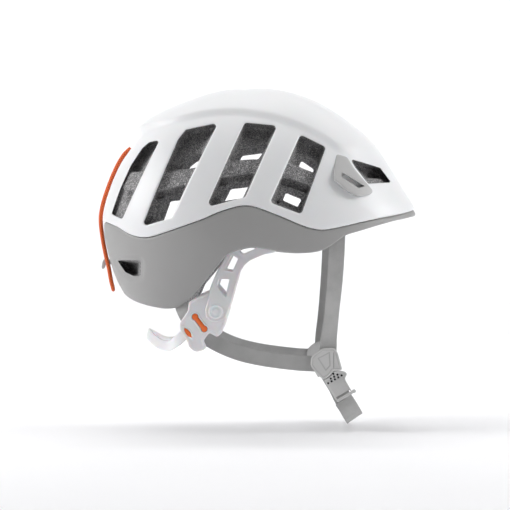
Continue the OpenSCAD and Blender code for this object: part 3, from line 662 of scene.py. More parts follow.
def shell_piece(name, top, bottom, loops, wall, radius, roll, spacing=2.2, flange=None):
    """A moulded shell between two edges, with openings. The radius function gives the outer surface, and
    roll the width and depth of the rolled edge of each loop. Openings on the sides are cut along Y."""
    th, e, drop, loop_ids = [], [], [], []
    links, start, straight = [], 0, []
    for rings, (width, depth) in zip(loops, roll):
        for k, (t, u, d) in enumerate(rings):
            ids = np.arange(start, start + len(t))
            th.append(t)
            e.append(u)
            drop.append(lip_drop(d, width) * depth)
            if np.ptp(t) < ONE_SIDE:
                straight.append(ids)
            links += [(int(a), int(b)) for a, b in zip(ids, np.roll(ids, -1))]
            if k == 0:
                loop_ids.append(ids)
            start += len(t)
    # free points on rings of nearly equal spacing, kept clear of the loops
    free_t, free_e = [], []
    for level in np.arange(-46, 90, spacing * 0.87 / DEGREE):
        count = max(6, int(2 * math.pi * 118 * math.cos(math.radians(level)) / spacing))
        t = (np.arange(count) + 0.5 * (len(free_t) % 2)) * 360 / count - 180
        free_t.append(t)
        free_e.append(np.full(count, level))
    ft, fe = np.concatenate(free_t), np.concatenate(free_e)
    keep = np.ones(len(ft), bool)
    if bottom is not None:
        keep &= fe > curve(bottom, np.abs(ft)) + 1.6
    if top is not None:
        keep &= fe < curve(top, np.abs(ft)) - 1.6
    ft, fe = ft[keep], fe[keep]
    xyz = place(ft, fe, radius(ft, fe))
    keep = np.ones(len(ft), bool)
    for rings in loops:
        t, u, _ = rings[0]
        if t.min() < -179:
            continue
        outline = flat_map(t, u)
        p = flat_map(ft, fe)
        keep &= outline_distance(outline, p[:, 0], p[:, 1]) > 0
        t, u, _ = rings[-1]
        last = place(t, u, radius(t, u))
        near = np.full(len(ft), 1e9)
        for i in range(0, len(last), 40):
            near = np.minimum(near, ((xyz[:, None] - last[None, i:i + 40]) ** 2).sum(2).min(1))
        keep &= near > (0.62 * spacing) ** 2
        inner = outline_distance(flat_map(t, u), p[:, 0], p[:, 1]) < 0
        keep &= ~inner
    ft, fe = ft[keep], fe[keep]
    th = np.concatenate(th + [ft])
    e = np.concatenate(e + [fe])
    drop = np.concatenate(drop + [np.zeros(len(ft))])
    flat = flat_map(th, e)
    result = geometry.delaunay_2d_cdt([Vector(p) for p in flat], links, [], 0, 1e-7)
    origin = [o[0] if o else -1 for o in result[3]]
    tris = np.array([[origin[i] for i in f] for f in result[2]])
    tris = tris[(tris >= 0).all(1)]
    owner = np.full(len(th), -1)
    for i, ids in enumerate(loop_ids):
        owner[ids] = i
    on = owner[tris]
    tris = tris[~((on[:, 0] >= 0) & (on[:, 0] == on[:, 1]) & (on[:, 1] == on[:, 2]))]
    outer = place(th, e, radius(th, e) - drop)
    low = e.copy()
    if flange:
        above = e - curve(bottom, np.abs(th))
        low = e + flange[1] * np.clip(1 - above / 2.4, 0, 1)
    inner = place(th, low, radius(th, low) - wall)
    for ids in straight:
        on_skin = place(th[ids], e[ids], radius(th[ids], e[ids]))
        side = np.sign(on_skin[:, 1])
        outer[ids] = on_skin - np.stack([0 * side, side * drop[ids], 0 * side], 1)
        t, u = side_angles(on_skin[:, [0, 2]], lambda a, b: radius(a, b) - wall)
        inner[ids] = place(t, u, radius(t, u) - wall)
        inner[ids, 1] = side * np.minimum(np.abs(inner[ids, 1]), np.abs(outer[ids, 1]) - 0.8)
    n = len(th)
    points, faces = [outer, inner], [tris, tris[:, ::-1] + n]
    quads, extra = [], 2 * n
    for i, ids in enumerate(loop_ids):
        after = np.roll(ids, -1)
        if flange and i == flange[2]:
            t, u = th[ids], e[ids]
            turn_in = radius(t, u) - flange[0]
            previous = ids
            for ring in (place(t, u - 0.1, turn_in + 0.4), place(t, u + 0.2, turn_in),
                         place(t, u + flange[1], turn_in)):
                points.append(ring)
                current = np.arange(extra, extra + len(ids))
                extra += len(ids)
                quads.append(np.stack([previous, np.roll(previous, -1), np.roll(current, -1), current], 1))
                previous = current
            quads.append(np.stack([previous, np.roll(previous, -1), after + n, ids + n], 1))
        else:
            quads.append(np.stack([ids, after, after + n, ids + n], 1))
    all_faces = [list(f) for f in np.concatenate(faces)] + [list(f) for f in np.concatenate(quads)]
    return make_piece(name, np.concatenate(points), all_faces, 42)


CORD_HOLE = (-104.2, 73.8)


def cord_hole_loops():
    """Loops round the slot that the elastic enters, in the middle of the rear."""
    r, _, e0 = polar(CORD_HOLE[0], 0.0, CORD_HOLE[1])
    rings = []
    for d in LIP:
        oval = round_outline([(-3.9, -0.4), (3.9, -0.4), (3.9, 0.4), (-3.9, 0.4)], 2.3 + d, 1.0)
        e = e0 + np.degrees(oval[:, 1] / r)
        th = 180 - np.degrees(oval[:, 0] / (r * np.cos(np.radians(e))))
        rings.append((np.where(th > 180, th - 360, th), e, np.full(len(th), float(d))))
    return [rings]


def make_upper_shell():
    loops = [edge_loop(JOINT, 1, 0.15)]
    for posts, radius in VENTS + [BROW_VENT]:
        loops += vent_loops(posts, radius)
    loops += cord_hole_loops()
    roll = [(1.6, 0.6)] + [(2.2, 0.6)] * 8 + [(1.2, 0.7)] * 2 + [(0.9, 1)]
    obj = shell_piece("white_upper_shell", None, JOINT, loops, UPPER_WALL, skin, roll)
    finish_piece(obj, "helmet", WHITE, "shell_white", "shell_upper")


def lower_radius(th, e):
    """The lower shell's surface, with a shallow moulded recess round the nape vent."""
    r = skin(th, e) - LOWER_STEP
    p = place(th, e, r)
    d = outline_distance(round_outline(NAPE_VENT[0], 0.6, 2.0), p[..., 0], p[..., 2])
    return r - 1.1 * smooth((4.2 - d) / 1.7) * (np.abs(p[..., 1]) > 20)


def make_lower_shell():
    loops = [edge_loop(JOINT, -1, -0.15), edge_loop(RIM, 1, 0)] + vent_loops(*NAPE_VENT)
    obj = shell_piece("grey_lower_shell", JOINT, RIM, loops, LOWER_WALL, lower_radius,
                      [(2.7, 0.4), (1.8, 1), (0.6, 1), (0.6, 1)],
                      spacing=1.9, flange=(RIM_FLANGE, 0.9, 1))
    finish_piece(obj, "helmet", GREY, "shell_grey", "shell_lower")


make_upper_shell()
make_lower_shell()


def flat_of(x, z):
    return np.broadcast_arrays(x[:, :, 0], z[0, :, :])


def turned_axes(x, z, centre, angle):
    """Distances from a centre along two axes turned by an angle in radians."""
    c, s = math.cos(angle), math.sin(angle)
    return (x - centre[0]) * c + (z - centre[1]) * s, -(x - centre[0]) * s + (z - centre[1]) * c


def disc(x, z, centre, radius):
    return np.sqrt((x - centre[0]) ** 2 + (z - centre[1]) ** 2) - radius


def bar(x, z, a, b, radius):
    run = np.array(b, float) - np.array(a, float)
    t = np.clip(((x - a[0]) * run[0] + (z - a[1]) * run[1]) / (run @ run), 0, 1)
    return np.sqrt((x - a[0] - t * run[0]) ** 2 + (z - a[1] - t * run[1]) ** 2) - radius


def between(y, near, far):
    return np.abs(y - (near + far) / 2) - (far - near) / 2


# ---- the foam liner ----
LINER_GAP = UPPER_WALL + LOWER_STEP + 0.3
FOAM_MARGIN = 0.4
UNDERCUT = 20
PIN_HOLE = (28.9, 22.8)


def liner_shape(x, y, z):
    """Signed distance of the liner: a dome with pockets behind the vents, ribs, windows and seats."""
    r, th, e = polar(x, y, z)
    outside = egg(FRONT, REAR, SIDE, th, e)
    out, hollow = outside - LINER_GAP, cavity(th, e)
    share = np.clip((r - hollow) / np.maximum(out - hollow, 1), 0, 1)
    raised = 4 * smooth((np.abs(th) - 68) / 12) * smooth((132 - np.abs(th)) / 12)
    edge = (curve(CAVITY_RIM, np.abs(th)) + raised) * (1 - share) + (curve(RIM, np.abs(th)) + 1) * share
    below = np.radians(edge - e) * r
    body = smooth_max(smooth_max((r - out) * 0.95, (hollow - r) * 0.95, 2.5), below * 0.9, 4)
    flat_x, flat_z = np.broadcast_arrays(x[:, :, 0], z[0, :, :])
    pocket = np.full(flat_x.shape, 1e3)
    for posts, radius in VENTS + [BROW_VENT, NAPE_VENT]:
        outline = round_outline(posts, radius + FOAM_MARGIN, 3)
        pocket = np.minimum(pocket, outline_distance(outline, flat_x, flat_z))
    middle = (curve(RIB_BOTTOM, flat_x) + curve(RIB_TOP, flat_x)) / 2
    half = (curve(RIB_TOP, flat_x) - curve(RIB_BOTTOM, flat_x)) / 2
    rib = (np.abs(flat_z - middle) - half)[:, None, :]
    shallow = smooth((-72 - flat_x) / 8) + 1.1 * smooth((-95 - flat_x) / 10)
    shallow = (shallow * smooth((flat_z + 6) / 12))[:, None, :]
    rib = smooth_max(rib, r - (outside - RIB_DEPTH + 2 * shallow), 1.5)
    draft = 0.26 * np.clip(outside - 3 - r, 0, 12)
    cut = smooth_max(pocket[:, None, :] + draft, (outside - POCKET_DEPTH + 5 * shallow) - r, 2.0)
    bottom = curve(RIB_BOTTOM, flat_x)
    under = np.maximum(pocket + 2, np.abs(flat_z - bottom + 2.5) - 3.5)[:, None, :]
    cut = smooth_min(cut, smooth_max(under, (outside - UNDERCUT + 12 * shallow) - r, 1.0), 0.8)
    pin = disc(flat_x, flat_z, PIN_HOLE, 1.5)[:, None, :]
    cut = np.minimum(cut, np.maximum(pin, (outside - 20) - r))
    cut = smooth_max(cut, -rib, 0.8)
    cut = np.maximum(cut, 20 - y)
    body = smooth_max(body, -cut, 1.2)
    window = np.full(flat_x.shape, 1e3)
    for posts in WINDOWS:
        window = np.minimum(window, outline_distance(round_outline(posts, 0.7, 3), flat_x, flat_z))
    band = np.abs(flat_z - middle) - half
    window = np.maximum(np.maximum(window, -band)[:, None, :], 20 - y)
    body = smooth_max(body, -window, 0.6)
    arm = outline_distance(ARM_ROOM, flat_x, flat_z)[:, None, :]
    body = smooth_max(body, -np.maximum(arm, np.abs(y - 74.6) - 2), 0.8)
    turn = math.radians(ANCHOR_TURN)
    for centre, size, a in ((FRONT_ANCHOR, (9.5, 4, 4.3), 0), (REAR_SEAT, (11, 4.7, 11), turn)):
        u, v = turned_axes(x, y, centre, a)
        seat = np.maximum(np.maximum(np.abs(u) - size[0], np.abs(v) - size[1]), np.abs(z - centre[2]) - size[2])
        body = smooth_max(body, -seat, 0.8)
    return body


ARM_ROOM = [(-44, -64), (8, -64), (34, -26), (34, -5), (22, -6.6), (-19, -6.6), (-38, -38)]
FRONT_ANCHOR, REAR_ANCHOR, REAR_SEAT, ANCHOR_TURN = (81, 70, 1), (-60, 58, -52), (-60, 58, -58), 43


def make_liner():
    step = 1.3
    low, high = (-130, 0, -76), (156, 104, 130)
    x, y, z = grid(low, high, step)
    half = liner_shape(x, y, z).astype(np.float32)
    whole = np.concatenate([half[:, :0:-1], half], 1)
    points, quads = net(whole, (low[0], -(half.shape[1] - 1) * step, low[2]), step)
    obj = make_piece("foam_shell", points, quads, 70)
    finish_piece(obj, "helmet", FOAM, "foam", "foam_liner")


make_liner()


# ---- headlamp clips, rear hook and elastic ----
CLIP_OUTLINE = [(79, 66.7), (90, 63.5), (94.4, 54.5), (102, 44.5), (111, 34.5), (112.2, 32), (108.6, 29.4),
                (98.3, 27.5), (89.4, 31.8), (78.2, 40.6), (77, 44)]
CLIP_SLOT = (96.5, 78, 39.2)


def clip_shape(x, y, z):
    """A wedge that grows out of the shell from its top down, with a slot behind its lower edge."""
    r, th, e = polar(x, y, z)
    over = r - egg(FRONT, REAR, SIDE, th, e)
    flat_x, flat_z = np.broadcast_arrays(x[:, :, 0], z[0, :, :])
    d = soften(outline_distance(CLIP_OUTLINE, flat_x, flat_z)[:, None, :], 1.2, 0.6) + 0 * y
    height = 0.3 + 6.0 * smooth((66 - z + 0.12 * (x - 90)) / 34)
    body = smooth_max(smooth_max(d, over - height, 2.2), -1.4 - over, 0.4)
    u, w = turned_axes(x, z, CLIP_SLOT[::2], math.radians(-31))
    p, q = turned_axes(u, y, (0, CLIP_SLOT[1]), math.radians(42))
    slot = np.maximum(np.maximum(np.abs(p) - 7.5, np.abs(q) - 15), np.abs(w) - 1.9)
    return smooth_max(body, -slot, 0.7)


def hook_shape(x, y, z):
    outline = [(-121.5, -27), (-127.8, -25.6), (-129.6, -28.5), (-130.6, -34.5), (-129.2, -36), (-127.6, -34.5),
               (-126.6, -31), (-120.6, -31.5)]
    d = soften(outline_distance(outline, *np.broadcast_arrays(x[:, :, 0], z[0, :, :]))[:, None, :], 0.5, 0.3)
    return smooth_max(d + 0 * y, np.abs(y) - 1.3, 0.7)


def make_rear():
    obj = moulded("rear_cord_hook", hook_shape, (-133, -2.4, -38), (-117, 2.4, -23), 0.3)[0]
    finish_piece(obj, "helmet", CLIP, "clip_grey", "rear_hook")
    route = [(-103.8, 74.4), (-110.4, 68), (-117.8, 55), (-125.3, 36.4), (-129.9, 20.7), (-131.3, 8.6),
             (-129.6, -7.3), (-127.6, -18.2), (-126, -25.5), (-124, -34), (-121.8, -46.2)]
    line = [(x, -3.6, z) for x, z in route] + [(-120.6, -2.9, -50.9), (-119.9, 0, -54.4)]
    line = mirrored(line)
    angle = np.arange(20) * 2 * math.pi / 20
    section = np.stack([np.cos(angle), np.sin(angle)], 1) * CORD_D / 2
    obj, _ = sweep("orange_elastic", line, [(1, 0, 0.31)] * len(line), section, 8)
    finish_piece(obj, "elastic", ORANGE_CORD, "orange_cord", "rear_elastic")


moulded_pair("headlamp_clip", clip_shape, (74, 56, 24), (116, 96, 70), 0.6, "helmet", CLIP, "clip_grey",
             "lamp_clip_{}")
make_rear()

# ---- headband ----
PLATE_Y, PLATE_T, STRUT_T = 70, 3.2, 2.4
STRUT_Y = PLATE_Y + PLATE_T + 0.2
STRUT = [(30, -9), (31, -17), (26, -20.5), (17, -22.3), (9.3, -25.6), (4.3, -28), (-0.7, -32.3), (-4.1, -38),
         (-6.2, -45.6), (-9, -55), (-12.5, -68), (-16.5, -77), (-20, -80.4), (-25, -81.4), (-30, -80.4),
         (-33.6, -76.6), (-34.2, -70.5), (-32, -62), (-30.8, -54), (-29.2, -49), (-24, -37), (-19, -28),
         (-14, -19), (-14, -10), (-4, -10), (-4.5, -19.3), (-1, -21.8), (4.5, -19.3), (9, -17.5), (17, -10)]
STRUT_WINDOWS = [[(-10.7, -23.5), (-6.2, -26), (-10.7, -36), (-16.6, -35.2)],
                 [(-21.8, -44.3), (-13.9, -44.3), (-16.7, -58.2), (-23.4, -50.4)]]
PIVOT, BOSS = (24, -14), (-25, -72)
PLATE = [(-48.6, -63.8), (-43, -59.9), (-32.4, -55.1), (-24, -57), (-16, -62), (-13.4, -72), (-16.7, -82.2),
         (-19.5, -90.6), (-24, -94.5), (-30.7, -90.6), (-35.7, -97.3), (-32.9, -103.4), (-35.7, -105.7),
         (-41.3, -107.4), (-45.2, -106.2), (-48.6, -102.9), (-49.6, -99), (-56.6, -88), (-57, -82.4),
         (-49.4, -71.4)]
BAR_A, BAR_B, LEAF = (-43.2, -76.7), (-35.2, -87.2), (-49.4, -90.8)


def strut_shape(x, y, z):
    fx, fz = flat_of(x, z)
    d = outline_distance(STRUT, fx, fz)
    d = soften(d[:, None, :], 0.9, 0.5)[:, 0, :]
    for outline in STRUT_WINDOWS:
        d = np.maximum(d, -(outline_distance(outline, fx, fz) - 0.4))
    d = d[:, None, :]
    rim = smooth((d + 2.2) / 1.0) * 0.35
    body = smooth_max(d + 0 * y, between(y, STRUT_Y + 0.05, STRUT_Y + STRUT_T - 0.4) - rim * 0.5 - 0.1, 0.7)
    return np.maximum(body, -disc(x, z, PIVOT, 3.1))


def button_distance(x, z, grow):
    d = np.minimum(disc(x, z, BAR_A, 2.7), disc(x, z, BAR_B, 2.7))
    d = np.minimum(d, bar(x, z, BAR_A, BAR_B, 1.9))
    a = math.radians(-53)
    side = (7.2 * -math.sin(a), 7.2 * math.cos(a))
    leaf = np.maximum(disc(x, z, (LEAF[0] + side[0], LEAF[1] + side[1]), 9),
                      disc(x, z, (LEAF[0] - side[0], LEAF[1] - side[1]), 9))
    return np.minimum(d, leaf) - grow


def plate_shape(x, y, z):
    fx, fz = flat_of(x, z)
    outline = soften(outline_distance(PLATE, fx, fz)[:, None, :], 1.0, 0.5)
    body = smooth_max(outline + 0 * y, between(y, PLATE_Y + 0.05, PLATE_Y + PLATE_T - 0.05), 1.0)
    hole = button_distance(fx, fz, 0.35)[:, None, :]
    collar = smooth_max(hole - 1.3, between(y, PLATE_Y + 1, PLATE_Y + PLATE_T - 0.02), 0.5)
    dish = smooth_max(outline + 2.2, (PLATE_Y + PLATE_T - 0.55) - y, 0.5)
    dish = np.maximum(dish, -collar)
    body = smooth_max(body, -dish, 0.4)
    body = smooth_max(body, -(hole + 0 * y), 0.4)
    return np.maximum(body, -disc(x, z, BOSS, 2.15))


def button_shape(x, y, z):
    d = button_distance(*flat_of(x, z), 0.0)[:, None, :]
    crown = 0.35 * smooth(-d / 2)
    body = between(y, PLATE_Y + 0.42, PLATE_Y + PLATE_T - 0.55) - crown * (y > PLATE_Y + 1.5)
    return smooth_max(d + 0 * y, body, 0.5)


def make_headband():
    moulded_pair("headband_arm", strut_shape, (-37, 72, -84), (34, 77, -7), 0.5, "headband", FROST,
                 "frost_plastic", "headband_strut_{}")
    moulded_pair("adjuster", plate_shape, (-62, 68.6, -110), (-11, 74.6, -53), 0.45, "headband", FROST,
                 "frost_plastic", "adjuster_plate_{}")
    moulded_pair("lock", button_shape, (-60, 69.6, -100), (-31, 74, -72), 0.35, "lock_{}", ORANGE,
                 "orange_plastic", "lock_button_{}")
    far = STRUT_Y + STRUT_T + 0.1 - PLATE_Y
    head = [(2, 0), (6.2, 0), (6.6, 0.25), (6.6, 0.6), (6.1, 1.0), (5.2, 1.1), (4.6, 0.7), (3.2, 0.65),
            (2.7, 0.95), (1.2, 1.05), (0.3, 1.05)]
    rivet = [(3.3, -1.1), (3.6, -0.9), (3.6, -0.3), (3.3, -0.1), (2, -0.1)] + [(r, far + d) for r, d in head]
    for obj, side in zip(turned("arm_rivet", rivet, *BOSS, PLATE_Y), BOTH):
        finish_piece(obj, "headband", FROST, "frost_plastic", f"strut_rivet_{side}")
    pin = [(0.4, -2.2), (4.6, -2.2), (5.2, -1.9), (5.4, -1.4), (5.4, -0.3), (3, -0.3), (3, 10.7), (2.6, 11),
           (0.4, 11)]
    for obj, side in zip(turned("tilt_pin", pin, *PIVOT, STRUT_Y), BOTH):
        finish_piece(obj, "helmet", METAL, "pin_metal", f"headband_pivot_{side}")


NAPE = [(-44, -67.9, -83.5), (-52, -67.9, -91.5), (-60, -64, -98.8), (-67, -52, -103.2), (-76, -35, -102),
        (-84, -17, -97), (-88, 0, -93.4)]
NAPE_UP = [(-0.7, 0, 0.7), (-0.7, 0, 0.7), (-0.5, 0.2, 0.84), (0, 0.3, 1), (0.3, 0.3, 1), (0.3, 0.1, 1),
           (0.3, 0, 1)]


def band_section(width, thick, lip=0.0, count=9):
    """A flat band with round edges, thicker along them by the lip."""
    side = [math.pi / 2 - k * math.pi / 6 for k in range(7)]
    r = thick / 2 + lip
    right = [(width / 2 - r + r * math.cos(a), r * math.sin(a)) for a in side]
    across = np.linspace(width / 2 - 2.6 * r, -(width / 2 - 2.6 * r), count)
    bottom = [(u, -thick / 2) for u in across]
    left = [(-u, -v) for u, v in right]
    top = [(-u, -v) for u, v in bottom]
    return right + bottom + left + top


def make_nape():
    obj, _ = sweep("nape_strap", mirrored(NAPE), mirrored(NAPE_UP), band_section(9, 1.9, 0.12), 8,
                   scale=lambda s: (np.clip(np.minimum(s, 1 - s) * 60, 0.55, 1) ** 0.5, np.ones_like(s)))
    finish_piece(obj, "nape", FROST, "frost_plastic", "nape_band")


make_headband()
make_nape()


# ---- webbing ----
FRONT_ROUTE = [(81, -70, 0), (80.4, -71.2, -12), (80, -71.5, -22), (78.4, -72, -47), (75.8, -70, -75),
               (73.8, -68.2, -95), (73.2, -67.5, -103.6), (73.2, -67.5, -108)]
FRONT_ACROSS = [(1, 0.1, 0), (1, 0.12, 0), (1, 0.15, 0), (1, 0.3, 0), (1, 0.5, 0), (1, 0.3, 0), (1, 0.06, 0),
                (1, 0.05, 0)]
REAR_ROUTE = [(-60.6, -58.2, -53), (-60, -58, -57.1), (-58, -57.4, -62), (-54.5, -60.4, -70), (-49.5, -65, -78),
              (-42, -65.2, -87.5), (-31, -65, -96.5), (-18, -65.6, -103.5), (-3.2, -66.6, -109),
              (13.5, -67.2, -112.8), (30, -67.5, -115.3), (48, -67.5, -117.3), (62, -67.5, -118)]
REAR_ACROSS = [(0.73, -0.68, 0), (0.73, -0.68, 0), (0.7, -0.68, 0.25), (0.76, -0.42, 0.5), (0.8, -0.05, 0.6),
               (0.74, 0, 0.67), (0.58, 0, 0.81), (0.44, 0, 0.9), (0.3, 0, 0.95), (0.2, 0, 1), (0.13, 0, 1),
               (0.08, 0, 1), (0.04, 0, 1)]
CHIN_ROUTE = [(86.6, -63.6, -149.6), (91.4, -61, -157), (96, -50, -164.8), (98.2, -28, -168.6),
              (98.6, 0, -169.4), (98.2, 28, -168.6), (96, 50, -164.8), (91.4, 61, -157), (86.6, 62.8, -147),
              (82, 64, -139.5), (78.5, 64.5, -133.4)]
CHIN_ACROSS = ([(0.82, 0.1, 0.57)] * 2 + [(0.82, 0, 0.57)] * 5 + [(0.82, -0.1, 0.57), (0.85, 0, 0.52)]
               + [(0.87, 0, 0.5)] * 2)


def make_webbing():
    for sign, side in ((1, "right"), (-1, "left")):
        flip = np.array([1, sign, 1])
        for name, route, across, width in (("front", FRONT_ROUTE, FRONT_ACROSS, 15),
                                           ("rear", REAR_ROUTE, REAR_ACROSS, 13.6)):
            obj, _ = sweep(f"webbing_{name}_{side}", np.array(route) * flip, np.array(across) * flip,
                           band_section(width, 1.3, 0.12, 13), 10)
            finish_piece(obj, "helmet", WEB, "webbing", f"strap_{name}_{side}")
    obj, _ = sweep("webbing_chin", CHIN_ROUTE, CHIN_ACROSS, band_section(17, 1.3, 0.12, 13), 10)
    finish_piece(obj, "chin", WEB, "webbing", "chin_strap")


# ---- dividers, anchors and buckle ----
DIVIDER = [(68, -104), (78.5, -104), (81.5, -108), (84.5, -119), (86, -123.8), (77.5, -123.8), (74, -128.8),
           (68.5, -131.8), (62, -125.5), (57.5, -119.5), (58, -112.5), (61, -109)]
DIVIDER_DISH = [(64, -113), (74.5, -107.5), (75, -119.5), (71, -124)]
SLEEVE = [(60, -103), (82, -103), (81.4, -110), (62.5, -126.6), (56, -126), (56, -109)]
TONGUE = [(86.4, -124.4), (89.6, -125.6), (90, -128), (87.8, -131), (93.2, -140.6), (94.5, -143),
          (81.2, -151.4), (79.6, -149.6), (69.4, -132.4), (74.6, -129.4), (78, -124.4)]
TAB = [(69, -110), (81, -110), (84, -125), (84, -132), (74, -136), (69, -128)]
SOCKET = (75, -116)
GRIP_SLOT, LADDER, GRIP_TURN = (87, -145.6), (89, -146), math.radians(31)
RING_PIN = (77.5, 64.5, -131.7)


def box_distance(u, v, w, half):
    return np.maximum(np.maximum(np.abs(u) - half[0], np.abs(v) - half[1]), np.abs(w) - half[2])


def divider_shape(x, y, z):
    fx, fz = flat_of(x, z)
    d = soften(outline_distance(DIVIDER, fx, fz)[:, None, :], 1.4, 0.35)
    dish = soften(outline_distance(DIVIDER_DISH, fx, fz)[:, None, :], 1.4, 0.35)
    face = 70.15 - 0.35 * smooth((-d - 1.5) / 0.5) - 0.4 * smooth((-dish + 0.3) / 0.7)
    seam = 0.3 * np.exp(-((fx - 77.9) / 0.45) ** 2) * smooth((fz + 123) / 1.5) * smooth((-107.2 - fz) / 1.5)
    body = smooth_max(smooth_max(d + 0 * y, y - (face - seam[:, None, :]), 0.7), 65.8 - y, 0.5)
    sleeve = outline_distance(SLEEVE, fx, fz)[:, None, :]
    return np.maximum(body, -np.maximum(sleeve, np.abs(y - 67.45) - 1.45))


def pits(x, z):
    """Distance to the nearest dimple of the grip, which stand in rows of five, three and one."""
    d = np.full(np.broadcast(x, z).shape, 1e3)
    for row in range(3):
        for k in range(5 - 2 * row):
            d = np.minimum(d, disc(x, z, (85 - 3.65 * row - 2.95 * k, -128.3 + 0.7 * row - 1.72 * k), 0.92))
    return d


def tongue_shape(x, y, z):
    fx, fz = flat_of(x, z)
    d = soften(outline_distance(TONGUE, fx, fz)[:, None, :], 0.9, 0.35)
    face = 65.7 - 0.35 * smooth((-d - 1.0) / 0.9)
    plate = smooth_max(smooth_max(d + 0 * y, y - face, 0.8), 61.9 - y, 0.4)
    tab = smooth_max(outline_distance(TAB, fx, fz)[:, None, :] + 0 * y, between(y, 58.6, 61.95), 0.6)
    body = smooth_min(plate, tab, 0.3)
    body = smooth_max(body, -np.maximum(pits(fx, fz)[:, None, :], 64.2 - y), 0.2)
    u, w = turned_axes(fx, fz, GRIP_SLOT, GRIP_TURN)
    slot = np.maximum(np.abs(u) - 6.7, np.abs(w) - 1.5)[:, None, :] + 0 * y
    body = smooth_max(body, -slot, 0.5)
    return np.maximum(body, -np.maximum(disc(x, z, SOCKET, 4.15), y - 62.0) - 0 * z)


def ladder_shape(x, y, z):
    u, w = turned_axes(x, z, LADDER, GRIP_TURN)
    rod = np.maximum(np.abs(u) - 8.4, 0)
    rod = np.sqrt(rod ** 2 + w ** 2) - 1.25
    knob = np.sqrt((u - 7.9) ** 2 + w ** 2) - 1.75
    return smooth_max(smooth_min(rod, knob, 0.6) + 0 * y, between(y, 65.95, 67.85), 0.8)


def ring_shape(x, y, z):
    u, w = turned_axes(x, z, RING_PIN[::2], math.radians(-60))
    frame = box_distance(u + 3.6, y - RING_PIN[1], w, (4.8, 50, 11)) + 0 * y
    hole = np.maximum(np.abs(u + 3.5) - 2.4, np.abs(w) - 8.8)
    return smooth_max(smooth_max(frame, -hole, 0.5), np.abs(y - RING_PIN[1]) - 1.1, 0.7)


def anchor_shape(place_at, turn):
    def shape(x, y, z):
        u, v = turned_axes(x, y, place_at, math.radians(turn))
        w = z - place_at[2] + 0 * u
        block = smooth_max(smooth_max(np.abs(u) - 9 + 0 * w, np.abs(v) - 3.5 + 0 * w, 1.6), np.abs(w) - 4, 1.4)
        slot = np.maximum(np.maximum(np.abs(u) - 7.9, np.abs(v) - 1.1), w - 1.5)
        return smooth_max(block, -slot, 0.4)
    return shape


def divider_lines(x, y, z):
    """Painted shade along the dish outline, the rim step and the seam of the divider's face."""
    line = np.exp(-((outline_distance(DIVIDER_DISH, x, z) + 0.3) / 0.45) ** 2) * 0.34
    step = np.exp(-((outline_distance(DIVIDER, x, z) + 1.8) / 0.4) ** 2) * 0.26
    seam = np.exp(-((x - 77.9) / 0.4) ** 2) * smooth((z + 123) / 1.5) * smooth((-107.2 - z) / 1.5) * 0.6
    return np.maximum(np.maximum(line, step), seam) * smooth((y - 69) / 0.3)


def grip_holes(x, y, z):
    """Painted shade on the dimples' floors and on the walls of the strap's slot."""
    u, w = turned_axes(x, z, GRIP_SLOT, GRIP_TURN)
    slot = (np.abs(u) < 7.4) * smooth((2.1 - np.abs(w)) / 0.4) * 0.8
    return np.maximum(smooth((0.25 - pits(x, z)) / 0.35), slot) * smooth((65.32 - y) / 0.2)


def shade_pits(obj, amount):
    """Stores the painted shade of each vertex, as the attribute that the finish reads."""
    co = np.empty(len(obj.data.vertices) * 3, np.float32)
    obj.data.vertices.foreach_get("co", co)
    co = np.abs(co.reshape(-1, 3) / MM) * (1, 1, -1)
    value = amount(*co.T).astype(np.float32)
    obj.data.attributes.new("painted_shade", "FLOAT", "POINT").data.foreach_set("value", value)


def make_buckle():
    made = moulded("strap_divider", divider_shape, (55, 64.8, -134), (88, 71.2, -101.5), 0.35, BOTH)
    for obj, side in zip(made, BOTH):
        # painted shade in the divider's steps and seam
        shade_pits(obj, divider_lines)
        finish_piece(obj, "helmet", GRIP, "buckle_grey", f"divider_{side}")
    obj = moulded("grip_plate", tongue_shape, (66, 57.6, -153.5), (96.5, 66.7, -108), 0.35)[0]
    # painted shade in the grip's dimples and slot walls
    shade_pits(obj, grip_holes)
    finish_piece(obj, "chin", GRIP, "buckle_grey", "buckle_tongue")
    obj = moulded("grip_bar", ladder_shape, (77, 65, -154), (101, 69, -138), 0.3)[0]
    finish_piece(obj, "chin", BUCKLE, "buckle_grey", "ladder_bar")
    obj = moulded("chin_ring", ring_shape, (64, 62.8, -148), (92, 66.2, -112), 0.4, ("left",))[0]
    finish_piece(obj, "helmet", BUCKLE, "buckle_grey", "strap_ring")
    for place_at, turn, low, high, name in (
            (FRONT_ANCHOR, 0, (71, 65.4, -4.2), (91, 74.6, 6.2), "front"),
            (REAR_ANCHOR, ANCHOR_TURN, (-70, 47.4, -57.2), (-50, 68.6, -46.8), "rear")):
        moulded_pair(f"webbing_end_{name}", anchor_shape(place_at, turn), low, high, 0.5, "helmet", CLIP,
                     "clip_grey", f"strap_anchor_{name}_{{}}")
    cup = [(0.3, 1.8), (4.1, 1.8), (4.1, 0), (6.6, 0), (7, 0.4), (7, 3.0), (6.6, 3.4), (0.3, 3.4)]
    finish_piece(turned("catch_cup", cup, *SOCKET, 62.3, ("right",))[0], "helmet", BUCKLE, "buckle_grey",
                 "buckle_socket")
    for name, near, thick, node, body in (("catch_magnet", 62.4, 1.6, "socket_magnet", "helmet"),
                                          ("grip_magnet", 60.4, 1.5, "tongue_magnet", "chin")):
        disc_line = [(0.3, 0), (3.7, 0), (4, 0.3), (4, thick - 0.3), (3.7, thick), (0.3, thick)]
        finish_piece(turned(name, disc_line, *SOCKET, near, ("right",))[0], body, METAL, "pin_metal", node)


make_webbing()
make_buckle()


